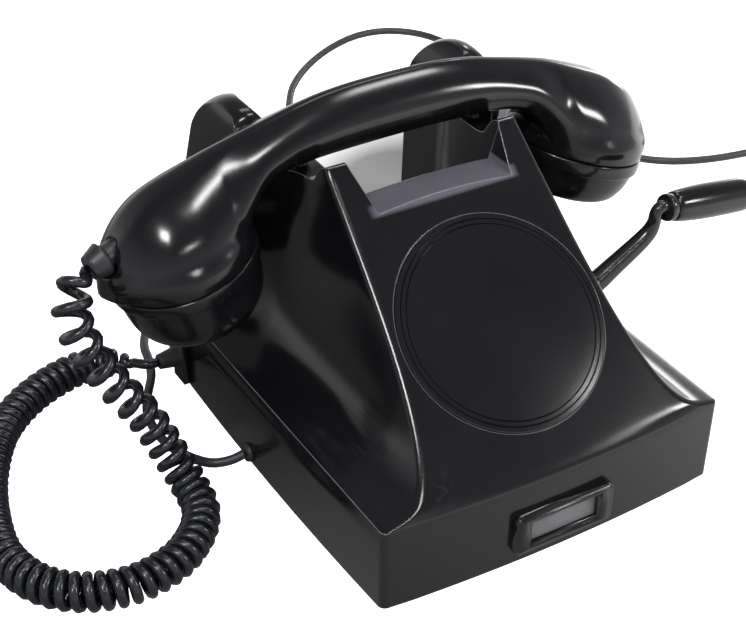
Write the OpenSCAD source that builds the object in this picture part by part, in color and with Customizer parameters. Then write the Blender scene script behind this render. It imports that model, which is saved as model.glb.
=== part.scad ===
// Desk telephone for a hand-cranked exchange line: moulded case with a sloping front,
// a saddle for the handset between two front posts and two rear horns, and a magneto inside.
// X is to the right of the user's view, Y runs to the back, Z is up. All sizes in millimetres.

/* [Case] */
// Width of the case over its skirt
foot_width = 154; // [150:1:158]
// Distance from the middle of the case to the front corners
front_depth = 105; // [102:1:108]
// Distance from the middle of the case to the rear face
rear_depth = 78; // [76:1:82]
// Height of the upright skirt
skirt_height = 36; // [34:0.5:38]
// Height of the front posts of the saddle
post_height = 126.4; // [124:0.2:129]
// Slope of the front plate, degrees from level
plate_slope = 40.5; // [39:0.5:42]
// Half width of the front plate at the top
post_half = 43.2; // [42:0.2:45]
// Wall of the moulded case
wall = 3.2; // [2.8:0.1:3.8]
// Outward swell of the front skirt
front_swell = 3.5; // [2:0.5:5]
// Outward swell of each side skirt
side_swell = 2.4; // [1:0.2:3]

/* [Saddle] */
// Half width of the notch between the front posts, at the top
notch_half = 34.5; // [33:0.5:36]
// Depth of the notch below the posts
notch_depth = 15; // [13:0.5:17]
// Height of the saddle that the handle lies over
saddle_height = 116; // [114.5:0.5:116.5]
// Half width over the rear horns
horn_half = 60; // [58:0.5:61]
// Height of the rear horns
horn_height = 132.6; // [131:0.2:134]
// Diameter of the cradle plungers
plunger_diameter = 4.6; // [4:0.1:4.8]

/* [Round cover] */
// Diameter of the blank cover on the front plate
cover_diameter = 86.6; // [84:0.2:88]
// Diameter of its opening in the plate
cover_hole = 76; // [73:0.5:78]

/* [Label holder] */
// Width of the label holder
label_width = 45; // [42:0.5:48]
// Height of the label holder
label_height = 18; // [16:0.5:20]

/* [Crank] */
// Distance of the crank shaft behind the front corners
crank_inset = 63; // [61:0.5:65]
// Height of the crank shaft
crank_height = 61.5; // [60.5:0.5:63]
// Diameter of the crank shaft
shaft_diameter = 8; // [7:0.2:9]
// Distance from the shaft to the foot of the knob
crank_throw = 29; // [28:0.5:30]
// Diameter of the crank rod at its thick end
rod_diameter = 9; // [8.4:0.2:9.4]
// Length of the knob
knob_length = 41.8; // [38:0.2:43]
// Largest diameter of the knob
knob_diameter = 14.6; // [13.6:0.2:15.4]

/* [Handset] */
// Distance of each cap from the middle of the handset
cap_offset = 93.3; // [92:0.5:95]
// Radius of the screwed caps
cap_radius = 30.6; // [29.6:0.2:31.4]
// Inward tilt of the caps, degrees
cap_tilt = 16; // [14:0.5:18]
// Height of the joint between shell and caps
joint_height = 91.4; // [90:0.2:93]
// Height of the top of the handle
handle_top = 145; // [143:0.5:147]
// Half width of the handle at its middle
handle_half = 12.5; // [11.5:0.1:13]

/* [Cords] */
// Outer diameter of the coiled handset cord
curl_diameter = 15.5; // [14:0.5:17]
// Diameter of the line cord
cord_diameter = 4; // [3.6:0.2:4.4]

/* [Hidden] */
$fn = 48;

// The point on the floor under the middle of the telephone without its cords.
datum = [1.8, -15.6, 0];

// Small gaps shared by the pieces that meet.
slip = 0.3;
running = 0.05;

// Floor of the case above the table, and the sheet floor in it.
case_lift = 0.8;
plate_level = 3;
plate_gauge = 2;

// The front plate starts a little above the skirt, because the two meet in a soft edge.
plate_start = skirt_height + 1.65;
front_face = -(front_depth + front_swell);
flank_lean = 5;
flare_soft = 18;
flare_lip = 20;
horn_lean = 0.19;
rear_lean = 3;
edge_softness = 0.8;
corner_radius = 3;
wall_normal = 1.15 * wall;
notch_floor = post_height - notch_depth;
ridge_back = -6.5;

black = [0.03, 0.03, 0.035];
rubber_grey = [0.12, 0.12, 0.13];
steel = [0.62, 0.63, 0.65];
brass = [0.78, 0.63, 0.32];
copper = [0.62, 0.32, 0.18];
iron = [0.25, 0.25, 0.27];
card_white = [0.86, 0.84, 0.76];
board_brown = [0.42, 0.26, 0.14];

// Shared helpers

function soft_min(a, b, k) = -k * ln(exp(-a / k) + exp(-b / k));
function soft_max(a, b, k) = k * ln(exp(a / k) + exp(b / k));
function ease(t) = t <= 0 ? 0 : t >= 1 ? 1 : t * t * (3 - 2 * t);
function mix(a, b, t) = a + (b - a) * t;
function unit(v) = v / norm(v);

module place() {
    translate(-datum)
        children();
}

// A closed skin over rings of points that all have the same count.
module skin(rings) {
    n = len(rings[0]);
    m = len(rings);
    points = [for (ring = rings) for (p = ring) p];
    first = [for (i = [0:n - 1]) i];
    last = [for (i = [n - 1:-1:0]) (m - 1) * n + i];
    sides = [for (j = [0:m - 2]) for (i = [0:n - 1]) for (half = [0, 1])
        let (a = j * n + i, b = j * n + (i + 1) % n, c = a + n, d = b + n)
        half == 0 ? [a, c, b] : [b, c, d]];
    polyhedron(points = points, faces = concat([first], [last], sides), convexity = 8);
}

// A plate with round corners, centred, lying in XY.
module round_plate(width, height, radius, thick) {
    linear_extrude(height = thick) {
        square([width - 2 * radius, height], center = true);
        square([width, height - 2 * radius], center = true);
        for (sx = [-1, 1], sy = [-1, 1])
            translate([sx * (width / 2 - radius), sy * (height / 2 - radius)])
                circle(r = radius);
    }
}

// A bar along X, from x0 to x1.
module bar_x(x0, x1, diameter) {
    translate([x0, 0, 0])
        rotate([0, 90, 0])
            cylinder(d = diameter, h = x1 - x0);
}

// A profile of [y, z] points pushed along X.
module side_prism(outline, half) {
    rotate([90, 0, 90])
        translate([0, 0, -half])
            linear_extrude(height = 2 * half)
                polygon(outline);
}

// Case form

function rise(z) = max(0, (z - skirt_height) / (post_height - skirt_height));

// Half width of the narrow front part: upright flanks that flare out to the skirt.
function waist(z) = post_half + flank_lean * (1 - rise(z))
    + flare_soft * exp(-5.2 * rise(z)) + flare_lip * exp(-33 * rise(z));
function half_width(z) = soft_min(foot_width / 2, waist(z), edge_softness);

// The front plate climbs back from the skirt.
function slope_y(z) = front_face + (z - plate_start) / tan(plate_slope);
function front_edge(z) = min(-5.5, soft_max(-front_depth, slope_y(z), edge_softness));
function front_mid(z) = min(-5.5, soft_max(front_face, slope_y(z), edge_softness));
function rear_y(z) = rear_depth - rear_lean * rise(z);

// The flanks widen towards the rear horns.
function horn_x(z) = horn_half + horn_lean * (horn_height - 10 - z)
    - pow(max(0, z - horn_height + 5.5), 2) / 20;
function turn_start(z) = 16 - 6 * ease((z - 85) / 25);
function turn_end(z) = 58 - 24 * ease((z - 85) / 25);
function full_half(y, z) = let (w = half_width(z), x = max(w, min(foot_width / 2, horn_x(z))))
    mix(w, x, ease((y - turn_start(z)) / (turn_end(z) - turn_start(z))));
function swell_at(z) = 1 - ease((z - skirt_height + 6) / 8);

// One level slice of the case, shrunk by the wall o where the hollow is meant.
function case_side(z, o) = let (
    r = max(0.8, corner_radius - o),
    fe = max(front_edge(z + o) + 0.6 * o, -front_depth + o),
    re = rear_y(z) - o,
    ya = fe + r,
    yb = re - r,
    y1 = turn_start(z),
    y2 = turn_end(z),
    stations = concat([for (i = [1, 2]) mix(ya, y1, i / 3)], [for (i = [0:5]) mix(y1, y2, i / 5)],
                      [mix(y2, yb, 0.5)]),
    swell = side_swell * swell_at(z),
    bow = function (y) swell * (1 - pow((2 * y - fe - re) / (re - fe), 2)),
    wf = full_half(ya, z + o) - o,
    wr = full_half(yb, z + o) - o)
    concat([for (i = [0:4]) let (a = -90 + 22.5 * i)
                [wf - r + r * cos(a) + bow(ya + r * sin(a)), ya + r * sin(a)]],
           [for (y = stations) [full_half(y, z + o) - o + bow(y), y]],
           [for (i = [0:4]) let (a = 22.5 * i)
                [wr - r + r * cos(a) + bow(yb + r * sin(a)), yb + r * sin(a)]]);

function case_slice(z, o) = let (
    right = case_side(z, o),
    n = len(right),
    re = rear_y(z) - o,
    wr = right[n - 1][0],
    wf = right[0][0],
    fe = right[0][1],
    fm = max(front_mid(z + o) + 0.6 * o, front_face + o),
    rear_bow = 2.5 * swell_at(z))
    concat(right,
           [for (t = [0.6, 0, -0.6]) [wr * t, re + rear_bow * (1 - t * t)]],
           [for (i = [n - 1:-1:0]) [-right[i][0], right[i][1]]],
           [for (t = [-0.66, -0.33, 0, 0.33, 0.66]) [wf * t, fe + (fm - fe) * (1 - t * t)]]);

function ring_at(z, o) = [for (p = case_slice(z, o)) [p[0], p[1], z]];

outer_levels = concat([case_lift, skirt_height - 8],
    [for (s = [-3.5, -1.5, 0, 1, 2, 3.2, 5, 8, 12, 17, 23, 32, 45, 60]) skirt_height + s],
    [post_height - 20, post_height - 10, post_height, post_height + 3, horn_height, horn_height + 2]);
inner_levels = concat([-2, skirt_height - 12],
    [for (s = [-6, -3, 0, 3, 8, 14, 24, 40, 60]) skirt_height + s],
    [post_height - 12, horn_height - wall - 2]);

// What is above the saddle, the posts and the horns, seen from the side.
function top_line(drop) = [
    [-60, 200],
    [-20, post_height - drop],
    [-5.4, post_height - drop],
    [-2.5, post_height - 1.2 - drop],
    [0.5, post_height - 4.6 - drop],
    [3.5, saddle_height + 1.5 - drop],
    [8.5, saddle_height - drop],
    [33 - drop, saddle_height - drop],
    [35 - drop, saddle_height + 5 - drop],
    [37.5 - drop, horn_height - 4.4 - drop],
    [41 - drop, horn_height - 1.2 - drop],
    [47, horn_height - drop],
    [54, horn_height - 0.2 - drop],
    [61, horn_height - 2.2 - drop],
    [67, horn_height - 5.8 - drop],
    [71.5 - drop, horn_height - 11 - drop],
    [74.5 - drop, horn_height - 18 - drop],
    [75.6 - drop, horn_height - 27 - drop],
    [100, horn_height - 30 - drop],
    [100, 200]];

// The tops of the horns are domed across, highest over the middle of each horn.
horn_mid = horn_half - 8;
function horn_dome(x) = 3 * pow(min(11, abs(abs(x) - horn_mid)) / 8, 2);
top_steps = concat([for (s = [-11, -8, -5, -2.5, 0, 2.5, 5, 8, 11]) horn_mid + s], [100]);
top_x = concat([for (i = [len(top_steps) - 1:-1:0]) -top_steps[i]], top_steps);
module top_space(drop) {
    skin([for (x = top_x) [for (p = top_line(drop))
        [x, p[0], p[1] - (p[0] > 34 - drop && p[1] < 199 ? horn_dome(x) : 0)]]]);
}

// The deep gap under the handle, open to the back.
function gap_line(grow) = [
    [ridge_back - grow, notch_floor + 60],
    [ridge_back - grow, notch_floor - grow],
    [-2.5 - grow, notch_floor - 7 - grow],
    [18, 82 - grow * 1.4],
    [44, 60 - grow * 1.4],
    [58, 48.5 - grow * 1.2],
    [74, 40.5 - grow],
    [110, 38 - grow],
    [110, notch_floor + 60]];
gap_front = notch_half - 0.5;
gap_rear = 43;
gap_turn = 28;
gap_wide = 50;
horn_inside = 118;
horn_flare = [[0, 0], [1, 4], [3, 9], [6, 13], [9.5, 16], [14, 18.5], [14, 42]];

module gap_space(grow) {
    front = gap_front + grow;
    rear = gap_rear + grow;
    last = len(horn_flare) - 1;
    intersection() {
        side_prism(gap_line(grow), rear + 2);
        translate([0, 0, 20])
            linear_extrude(height = 160)
                polygon([[-front, ridge_back - grow - 1], [front, ridge_back - grow - 1],
                         [front, gap_turn - grow], [rear, gap_wide - grow], [rear, 120],
                         [-rear, 120], [-rear, gap_wide - grow], [-front, gap_turn - grow]]);
    }
    // The inner faces of the horns curve outwards near their tops.
    translate([0, 110, 0])
        rotate([90, 0, 0])
            linear_extrude(height = 76 + grow)
                polygon(concat([for (i = [last:-1:0])
                                   [-rear - horn_flare[i][0], horn_inside - grow + horn_flare[i][1]]],
                               [for (p = horn_flare) [rear + p[0], horn_inside - grow + p[1]]]));
}

// The notch in the ridge, with a floor that rises slightly to its middle.
module notch_space(grow) {
    low = notch_floor - grow;
    foot = notch_half - 4.5 + grow;
    top = notch_half + grow;
    translate([0, 30, 0])
        rotate([90, 0, 0])
            linear_extrude(height = 100)
                polygon([[-foot, low], [-foot * 0.66, low + 0.7], [-foot * 0.33, low + 1.1],
                         [foot * 0.33, low + 1.1], [foot * 0.66, low + 0.7], [foot, low],
                         [top, post_height + grow], [top, 180], [-top, 180], [-top, post_height + grow]]);
}

// Places of the working parts

cover_inset = 42.4;
cover_y = cover_inset - front_depth;
cover_centre = [0, cover_y, plate_start + (cover_y - front_face) * tan(plate_slope)];
crank_front = front_depth - crank_inset;
crank_axis = [0, -crank_front, crank_height];
gear_module = 0.72;
gear_teeth = 48;
pinion_teeth = 12;
gear_distance = gear_module * (gear_teeth + pinion_teeth) / 2;
armature_axis = [0, -crank_front, crank_height - gear_distance];
plunger_x = 40.2;
plunger_y = 19.4;
hand_y = 19.4;
bush_face = 52;
pole_radius = 11;
magnet_inner = pole_radius + 0.6;
board_top = plate_level + plate_gauge;
boss_x = foot_width / 2 - wall - 8;
boss_front = -(front_depth - wall - 8);
boss_rear = rear_depth - wall - 8;

module at_cover() {
    translate(cover_centre)
        rotate([plate_slope, 0, 0])
            children();
}

module at_cap(side) {
    translate([side * cap_offset, hand_y, joint_height])
        rotate([0, side * cap_tilt, 0])
            children();
}

module case_shell() color(black) place() {
    difference() {
        union() {
            difference() {
                difference() {
                    skin([for (z = outer_levels) ring_at(z, 0)]);
                    top_space(0);
                    gap_space(0);
                    notch_space(0);
                }
                difference() {
                    skin([for (z = inner_levels) ring_at(z, wall)]);
                    top_space(wall);
                    gap_space(wall);
                    notch_space(wall);
                }
            }
            // Seat for the crank bush.
            translate([0, crank_axis[1], crank_axis[2]])
                bar_x(bush_face - 6, bush_face, 21);
            // Four bosses for the floor screws, tied to the corners by ribs.
            for (sx = [-1, 1], y = [boss_front, boss_rear]) {
                translate([sx * boss_x, y, board_top])
                    cylinder(d = 9, h = 17);
                translate([sx * (boss_x + 5) - 5, y - 1.2, board_top])
                    cube([10, 2.4, 17]);
                translate([sx * boss_x - 1.2, y < 0 ? y - 9.5 : y - 0.5, board_top])
                    cube([2.4, 10, 17]);
            }
        }
        // Spot face outside the bush, and its bore.
        translate([0, crank_axis[1], crank_axis[2]])
            bar_x(bush_face, bush_face + 20, 21.4);
        translate([0, crank_axis[1], crank_axis[2]])
            bar_x(bush_face - 12, bush_face + 1, 13 + 2 * running);
        // Seat and opening of the round cover.
        at_cover() {
            translate([0, 0, -0.8])
                cylinder(d = cover_diameter + 2 * slip, h = 12, $fn = 96);
            translate([0, 0, -14])
                cylinder(d = cover_hole, h = 20, $fn = 96);
        }
        // Pocket of the label holder.
        translate([0, front_face + 1.1, label_z])
            rotate([90, 0, 0])
                round_plate(label_width + 0.2, label_height + 0.2, 2.6, 12);
        // Guides of the cradle plungers.
        for (sx = [-1, 1])
            translate([sx * plunger_x, plunger_y, saddle_height - 12])
                cylinder(d = plunger_diameter + 0.2, h = 20);
        // Screw holes in the bosses.
        for (sx = [-1, 1], y = [boss_front, boss_rear])
            translate([sx * boss_x, y, board_top - 1])
                cylinder(d = 3.6, h = 14);
        // Holes for the handset cord boot and the line cord.
        translate([-foot_width / 2 - 4, boot_y, boot_z])
            bar_x(-6, 12, 8.2);
        translate([-foot_width / 2 - 4, gland_y, gland_z])
            bar_x(-6, 14, 6.6);
    }
}

// Floor, feet and screws

module base_plate() color(steel) place() {
    difference() {
        translate([0, 0, plate_level])
            linear_extrude(height = plate_gauge)
                polygon([for (p = case_slice(plate_level, wall)) [p[0] * 0.992, p[1] * 0.992]]);
        for (sx = [-1, 1], y = [boss_front, boss_rear])
            translate([sx * boss_x, y, 0])
                cylinder(d = 4.4, h = 20);
        // Slot that lets the line cord pass inside.
        translate([-foot_width / 2 + 1, gland_y - 4.5, 0])
            cube([10, 9, 20]);
        // Three rows of sound slots under the gongs.
        for (i = [-1:1])
            translate([0, 46 + 9 * i, 0])
                round_slot(34, 4);
    }
}

module round_slot(length, width) {
    linear_extrude(height = 20) {
        square([length - width, width], center = true);
        for (s = [-1, 1])
            translate([s * (length - width) / 2, 0])
                circle(d = width);
    }
}

foot_x = foot_width / 2 - 22;
module rubber_feet() color(rubber_grey) place() {
    for (sx = [-1, 1], y = [boss_front + 10, boss_rear - 10])
        translate([sx * foot_x, y, 0])
            rotate_extrude()
                polygon([[0, 0], [5.6, 0], [6.4, 0.6], [7, plate_level], [0, plate_level]]);
}

module case_screws() color(steel) place() {
    for (sx = [-1, 1], y = [boss_front, boss_rear])
        translate([sx * boss_x, y, 0])
            difference() {
                union() {
                    translate([0, 0, 1])
                        cylinder(d = 7, h = plate_level - 1);
                    translate([0, 0, 1])
                        cylinder(d = 3.5, h = 14);
                }
                translate([-4, -0.5, 0])
                    cube([8, 1, 1.9]);
            }
}

// Round cover

ring_depth = wall_normal + 0.05;
module round_cover() color(black) place() {
    r = cover_diameter / 2;
    h = cover_hole / 2 - slip;
    at_cover()
        rotate_extrude($fn = 120)
            polygon([[0, -2.2], [h - 2.4, -2.2], [h - 2.4, -ring_depth - 1.2],
                     [h, -ring_depth - 1.2], [h, -0.8], [r, -0.8], [r, 0.4], [r - 0.4, 0.8], [r - 1.9, 0.9], [r - 2.2, 0.5], [r - 2.5, 0.9],
                     [r - 4, 1], [r - 4.3, 0.6], [r - 4.6, 1], [r - 10, 1.3], [0, 1.6]]);
}

module cover_ring() color(steel) place() {
    h = cover_hole / 2 - slip;
    at_cover()
        translate([0, 0, -ring_depth - 1.2])
            difference() {
                cylinder(r = h + 4, h = 1.2, $fn = 96);
                translate([0, 0, -1])
                    cylinder(r = h + 0.05, h = 4, $fn = 96);
            }
}

// Label holder

label_z = 15;
window_width = label_width - 14;
window_height = label_height - 7.5;
module at_label() {
    translate([0, front_face + 1.1, label_z])
        rotate([90, 0, 0])
            children();
}

module label_frame() color(black) place() {
    at_label()
        difference() {
            union() {
                round_plate(label_width, label_height, 2.5, 3.6);
                translate([0, 0, 3.6])
                    round_plate(label_width - 1.6, label_height - 1.6, 1.9, 0.7);
            }
            translate([0, 0, -1])
                linear_extrude(height = 9)
                    square([window_width, window_height], center = true);
            translate([0, 0, 3.4])
                linear_extrude(height = 9)
                    square([window_width + 2.4, window_height + 2.4], center = true);
            translate([0, 0, -1])
                linear_extrude(height = 2.6)
                    square([window_width + 4, window_height + 3], center = true);
        }
}

module label_card() color(card_white) place() {
    at_label()
        translate([0, 0, 0.1])
            linear_extrude(height = 0.5)
                square([window_width + 3.4, window_height + 2.4], center = true);
}

module label_window() color([0.75, 0.78, 0.8]) place() {
    at_label()
        translate([0, 0, 0.7])
            linear_extrude(height = 0.8)
                square([window_width + 3.4, window_height + 2.4], center = true);
}

// Crank

crank_lean = 7.2;
module at_crank() {
    translate(crank_axis)
        rotate([crank_lean, 0, 0])
            children();
}

module crank_bush() color(brass) place() {
    translate(crank_axis)
        difference() {
            union() {
                bar_x(bush_face - 11, bush_face, 13);
                bar_x(bush_face, bush_face + 1.6, 20);
            }
            bar_x(bush_face - 20, bush_face + 10, shaft_diameter + 2 * running);
        }
}

shaft_end = 58.5;
module crank_shaft() color(steel) place() {
    translate(crank_axis)
        bar_x(-36, shaft_end, shaft_diameter);
}

// A spur wheel: straight-sided teeth, lightened by round holes.
function tooth_ring(teeth, m, thin) = [for (k = [0:teeth - 1]) for (p = [
        [-0.30, -1.05], [-0.19 + thin, 0.62], [0.19 - thin, 0.62], [0.30, -1.05]])
    let (a = 360 / teeth * (k + p[0] * 0.92), r = m * teeth / 2 + m * p[1]) [r * cos(a), r * sin(a)]];

frame_half = 28;
frame_plate = 2.5;
gear_x = frame_half + 6.5;
gear_width = 4;
module drive_gear() color(brass) place() {
    translate(crank_axis)
        translate([gear_x, 0, 0])
            rotate([0, 90, 0])
                difference() {
                    union() {
                        linear_extrude(height = gear_width)
                            polygon(tooth_ring(gear_teeth, gear_module, 0));
                        translate([0, 0, -2.6])
                            cylinder(d = 14, h = 2.6);
                    }
                    translate([0, 0, -5])
                        cylinder(d = shaft_diameter, h = 20);
                    for (i = [0:5])
                        rotate([0, 0, 60 * i])
                            translate([11, 0, -1])
                                cylinder(d = 5.2, h = 8);
                }
}

// The rod in the plane of the crank: [along X, from the shaft, share of its thickness].
rod_shape = [[56, 0, 1], [60, 0.3, 1], [63.2, 1.8, 0.98], [69.4, 6.5, 0.91], [76.4, 11.6, 0.86],
             [82.2, 16.2, 0.8], [85.4, 19.9, 0.72], [86.5, 24, 0.62], [86.3, 27.4, 0.58], [87, 29.6, 0.58],
             [88.9, 30.6, 0.6], [91.2, 30, 0.64], [92.8, 29.4, 0.66]];
rod_route = [for (p = rod_shape) [p[0], 0, p[1] * crank_throw / 29, p[2] * rod_diameter / 2]];
knob_lean = 8.5;
knob_base = [94, crank_throw];

// A ring square to the rod, which stays in one plane.
function rod_ring(s) = let (
    last = len(rod_route) - 1,
    p = path_point(rod_route, s),
    d = path_point(rod_route, min(last, s + 0.05)) - path_point(rod_route, max(0, s - 0.05)),
    long = sqrt(d[0] * d[0] + d[2] * d[2]),
    up = [-d[2] / long, 0, d[0] / long])
    [for (k = [0:13]) let (a = 360 / 14 * k)
        [p[0], p[1], p[2]] + p[3] * (cos(a) * [0, 1, 0] + sin(a) * up)];

module crank_arm() color(black) place() {
    last = len(rod_route) - 1;
    at_crank()
        difference() {
            union() {
                bar_x(bush_face + 2.2, shaft_end + 2, 11.4);
                skin([for (k = [0:0.5:last]) rod_ring(k)]);
                at_knob()
                    translate([0, 0, -3.4])
                        cylinder(d = 11.3, h = 3.2);
            }
            bar_x(0, shaft_end, shaft_diameter);
            at_knob()
                translate([0, 0, -0.3])
                    cylinder(r = 12, h = 30);
        }
}

module at_knob() {
    translate([knob_base[0], 0, knob_base[1]])
        rotate([0, 90 + knob_lean, 0])
            children();
}

pin_diameter = 4.6;
pin_head = 6.6;
module knob_pin() color(steel) place() {
    at_crank()
        at_knob() {
            translate([0, 0, -0.3])
                cylinder(d = pin_diameter, h = knob_length - 4.5);
            translate([0, 0, knob_length - 4.8])
                cylinder(d = pin_head, h = 1.6);
        }
}

module crank_knob() color(black) place() {
    r = knob_diameter / 2;
    at_crank()
        at_knob()
            difference() {
                rotate_extrude($fn = 64)
                    polygon([[0, 0.1], [r * 0.74, 0.1], [r * 0.8, 0.5], [r * 0.86, 2.1],
                             [r * 0.945, knob_length * 0.2], [r, knob_length * 0.45],
                             [r * 0.985, knob_length * 0.8], [r * 0.95, knob_length * 0.92],
                             [r * 0.87, knob_length * 0.97], [r * 0.72, knob_length], [0, knob_length]]);
                translate([0, 0, -1])
                    cylinder(d = pin_diameter + 2 * running + 0.1, h = knob_length + 5);
                translate([0, 0, knob_length - 4.95])
                    cylinder(d = pin_head + 0.4, h = 10);
            }
}

// Magneto

module magneto_frame() color(steel) place() {
    c = crank_axis[1];
    h = crank_axis[2];
    difference() {
        union() {
            for (sx = [-1, 1])
                translate([sx * frame_half - frame_plate / 2, 0, 0])
                    rotate([90, 0, 90])
                        linear_extrude(height = frame_plate)
                            polygon([[c - 20, board_top + 0.05], [c + 48, board_top + 0.05],
                                     [c + 48, h - 10], [c + 8, h + 8], [c - 8, h + 8], [c - 20, h - 12]]);
            translate([-frame_half, c - 20, board_top + 0.05])
                cube([2 * frame_half, 68, 2.5]);
            // Rails that carry the magnets.
            for (y = [c - 15, c + 20])
                translate([-frame_half, y, board_top + 1])
                    cube([2 * frame_half, 5, armature_axis[2] - magnet_inner - 4.55 - board_top - 1]);
        }
        translate(crank_axis)
            bar_x(-60, 60, shaft_diameter + 2 * running);
        translate(armature_axis)
            bar_x(-60, 60, 5 + 2 * running);
    }
}

magnet_front = 16;
magnet_reach = 38;
module magneto_magnets() color(iron) place() {
    c = armature_axis[1];
    h = armature_axis[2];
    count = 4;
    bar = magnet_front + magnet_reach;
    bolt = magnet_reach + magnet_inner / 2 - 0.2;
    width = (2 * frame_half - frame_plate - 1) / count;
    for (i = [0:count - 1])
        translate([(i - (count - 1) / 2) * width - (width - 0.4) / 2, 0, 0])
            rotate([90, 0, 90])
                linear_extrude(height = width - 0.4)
                    difference() {
                        union() {
                            translate([c - magnet_front, h - magnet_inner - 4.5])
                                square([bar, 2 * magnet_inner + 9]);
                            translate([c + magnet_reach, h])
                                scale([0.5, 1])
                                    circle(r = magnet_inner + 4.5, $fn = 64);
                        }
                        translate([c - magnet_front - 1, h - magnet_inner])
                            square([bar + 1, 2 * magnet_inner]);
                        translate([c + magnet_reach, h])
                            scale([0.5, 1])
                                circle(r = magnet_inner, $fn = 64);
                    }
    // Bolt that holds the bars between the end plates.
    translate([0, c + bolt, h])
        bar_x(-frame_half + frame_plate / 2, frame_half - frame_plate / 2, 3);
}

module armature_core() color(copper) place() {
    translate(armature_axis) {
        bar_x(-frame_half - 5, frame_half + 11.5, 5);
        difference() {
            bar_x(3 - frame_half, frame_half - 3, 2 * pole_radius);
            for (s = [-1, 1])
                translate([0, s * (pole_radius - 1.4), 0])
                    cube([60, 5, 9], center = true);
        }
    }
}

module armature_pinion() color(steel) place() {
    translate(armature_axis)
        translate([gear_x - 0.5, 0, 0])
            rotate([0, 90, 0])
                rotate([0, 0, 180 + 180 / pinion_teeth])
                    difference() {
                        linear_extrude(height = gear_width + 1)
                            polygon(tooth_ring(pinion_teeth, gear_module, 0.04));
                        translate([0, 0, -1])
                            cylinder(d = 5, h = 10);
                    }
}

// Cradle plungers and their contacts

plunger_top = 119.7;
bridge_z = 62;
module cradle_plungers() color(black) place() {
    for (sx = [-1, 1])
        translate([sx * plunger_x, plunger_y, bridge_z]) {
            cylinder(d = plunger_diameter, h = plunger_top - bridge_z - 1.2);
            translate([0, 0, plunger_top - bridge_z - 1.2])
                cylinder(d1 = plunger_diameter, d2 = plunger_diameter - 2, h = 1.2);
        }
    translate([-plunger_x, plunger_y - 3, bridge_z])
        cube([2 * plunger_x, 6, 4]);
    translate([0, plunger_y, bridge_z - 6])
        cylinder(d = 5, h = 7);
}

module hook_contacts() color(brass) place() {
    translate([-6, plunger_y - 7, board_top + 0.05])
        cube([12, 3, bridge_z - 14 - board_top]);
    for (i = [0:2])
        translate([-5, plunger_y - 7, bridge_z - 16 - 5 * i])
            cube([10, 14, 0.8]);
    translate([-4, plunger_y + 4, bridge_z - 27.5])
        cube([8, 2, 19.5]);
}

// Ringer

gong_x = 27;
gong_y = 50;
gong_radius = 21.5;
module gongs() color(brass) place() {
    for (sx = [-1, 1])
        translate([sx * gong_x, gong_y, 11])
            rotate_extrude($fn = 64)
                polygon([[1.7, 12], [8, 12], [14, 10.6], [18.5, 7.4], [gong_radius, 2], [gong_radius, 0],
                         [gong_radius - 1.4, 0], [gong_radius - 1.4, 1.8], [17.4, 6.2], [13.2, 9.2],
                         [8, 10.5], [1.7, 10.5]]);
}

module gong_posts() color(steel) place() {
    for (sx = [-1, 1])
        translate([sx * gong_x, gong_y, board_top + 0.05]) {
            cylinder(d = 8, h = 21.4 - board_top);
            cylinder(d = 3.3, h = 24 - board_top);
            translate([0, 0, 23.1 - board_top])
                cylinder(d = 7, h = 2);
        }
}

coil_y = 21;
module ringer_coils() color(copper) place() {
    for (sx = [-1, 1])
        translate([sx * 15, coil_y, board_top + 0.05]) {
            cylinder(d = 17, h = 1.5);
            cylinder(d = 15, h = 19);
            translate([0, 0, 17.5])
                cylinder(d = 17, h = 1.5);
        }
    translate([-22, coil_y - 5, board_top + 19])
        cube([44, 10, 2.5]);
    translate([0, coil_y, board_top + 0.05])
        cylinder(d = 3.2, h = 20);
}

module clapper() color(steel) place() {
    translate([0, 0, 15.5]) {
        difference() {
            union() {
                translate([0, coil_y, 0])
                    cylinder(d = 6.5, h = 4);
                translate([-1, coil_y, 1])
                    cube([2, gong_y - coil_y, 2]);
            }
            translate([0, coil_y, -1])
                cylinder(d = 3.2 + 2 * running, h = 8);
        }
        translate([0, gong_y, 2])
            sphere(d = 6, $fn = 32);
    }
}

// Other inner pieces

former_x = foot_width / 2 - 20;
former_half = 11;
former_front = [15, 66];
module induction_coil() color(board_brown) place() {
    translate([former_x, 0, board_top + former_half + 0.5])
        rotate([90, 0, 0]) {
            translate([0, 0, former_front[0] + 3])
                cylinder(r = former_half - 2, h = former_front[1] - former_front[0] - 1);
            for (y = former_front)
                translate([-former_half, -former_half - 0.45, y])
                    cube([2 * former_half, 2 * former_half, 3]);
        }
}

module capacitor() color(steel) place() {
    translate([-68, -58, board_top + 0.05])
        cube([20, 38, 22]);
    for (y = [-48, -30])
        translate([-58, y, board_top + 22])
            cylinder(d = 4, h = 3);
}

board_y = [20, 30, 40, 50];
module terminal_board() color(board_brown) place() {
    difference() {
        translate([-66, 13, board_top + 0.05])
            cube([16, 44, 6]);
        for (y = board_y, x = [-62, -54])
            translate([x, y, board_top + 2])
                cylinder(d = 2.5, h = 10);
    }
}

module terminal_screws() color(brass) place() {
    for (y = board_y, x = [-62, -54])
        translate([x, y, board_top + 2.1]) {
            cylinder(d = 2.5, h = 5);
            translate([0, 0, 3.95])
                cylinder(d = 4.6, h = 1.8);
        }
}

// Handset

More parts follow.
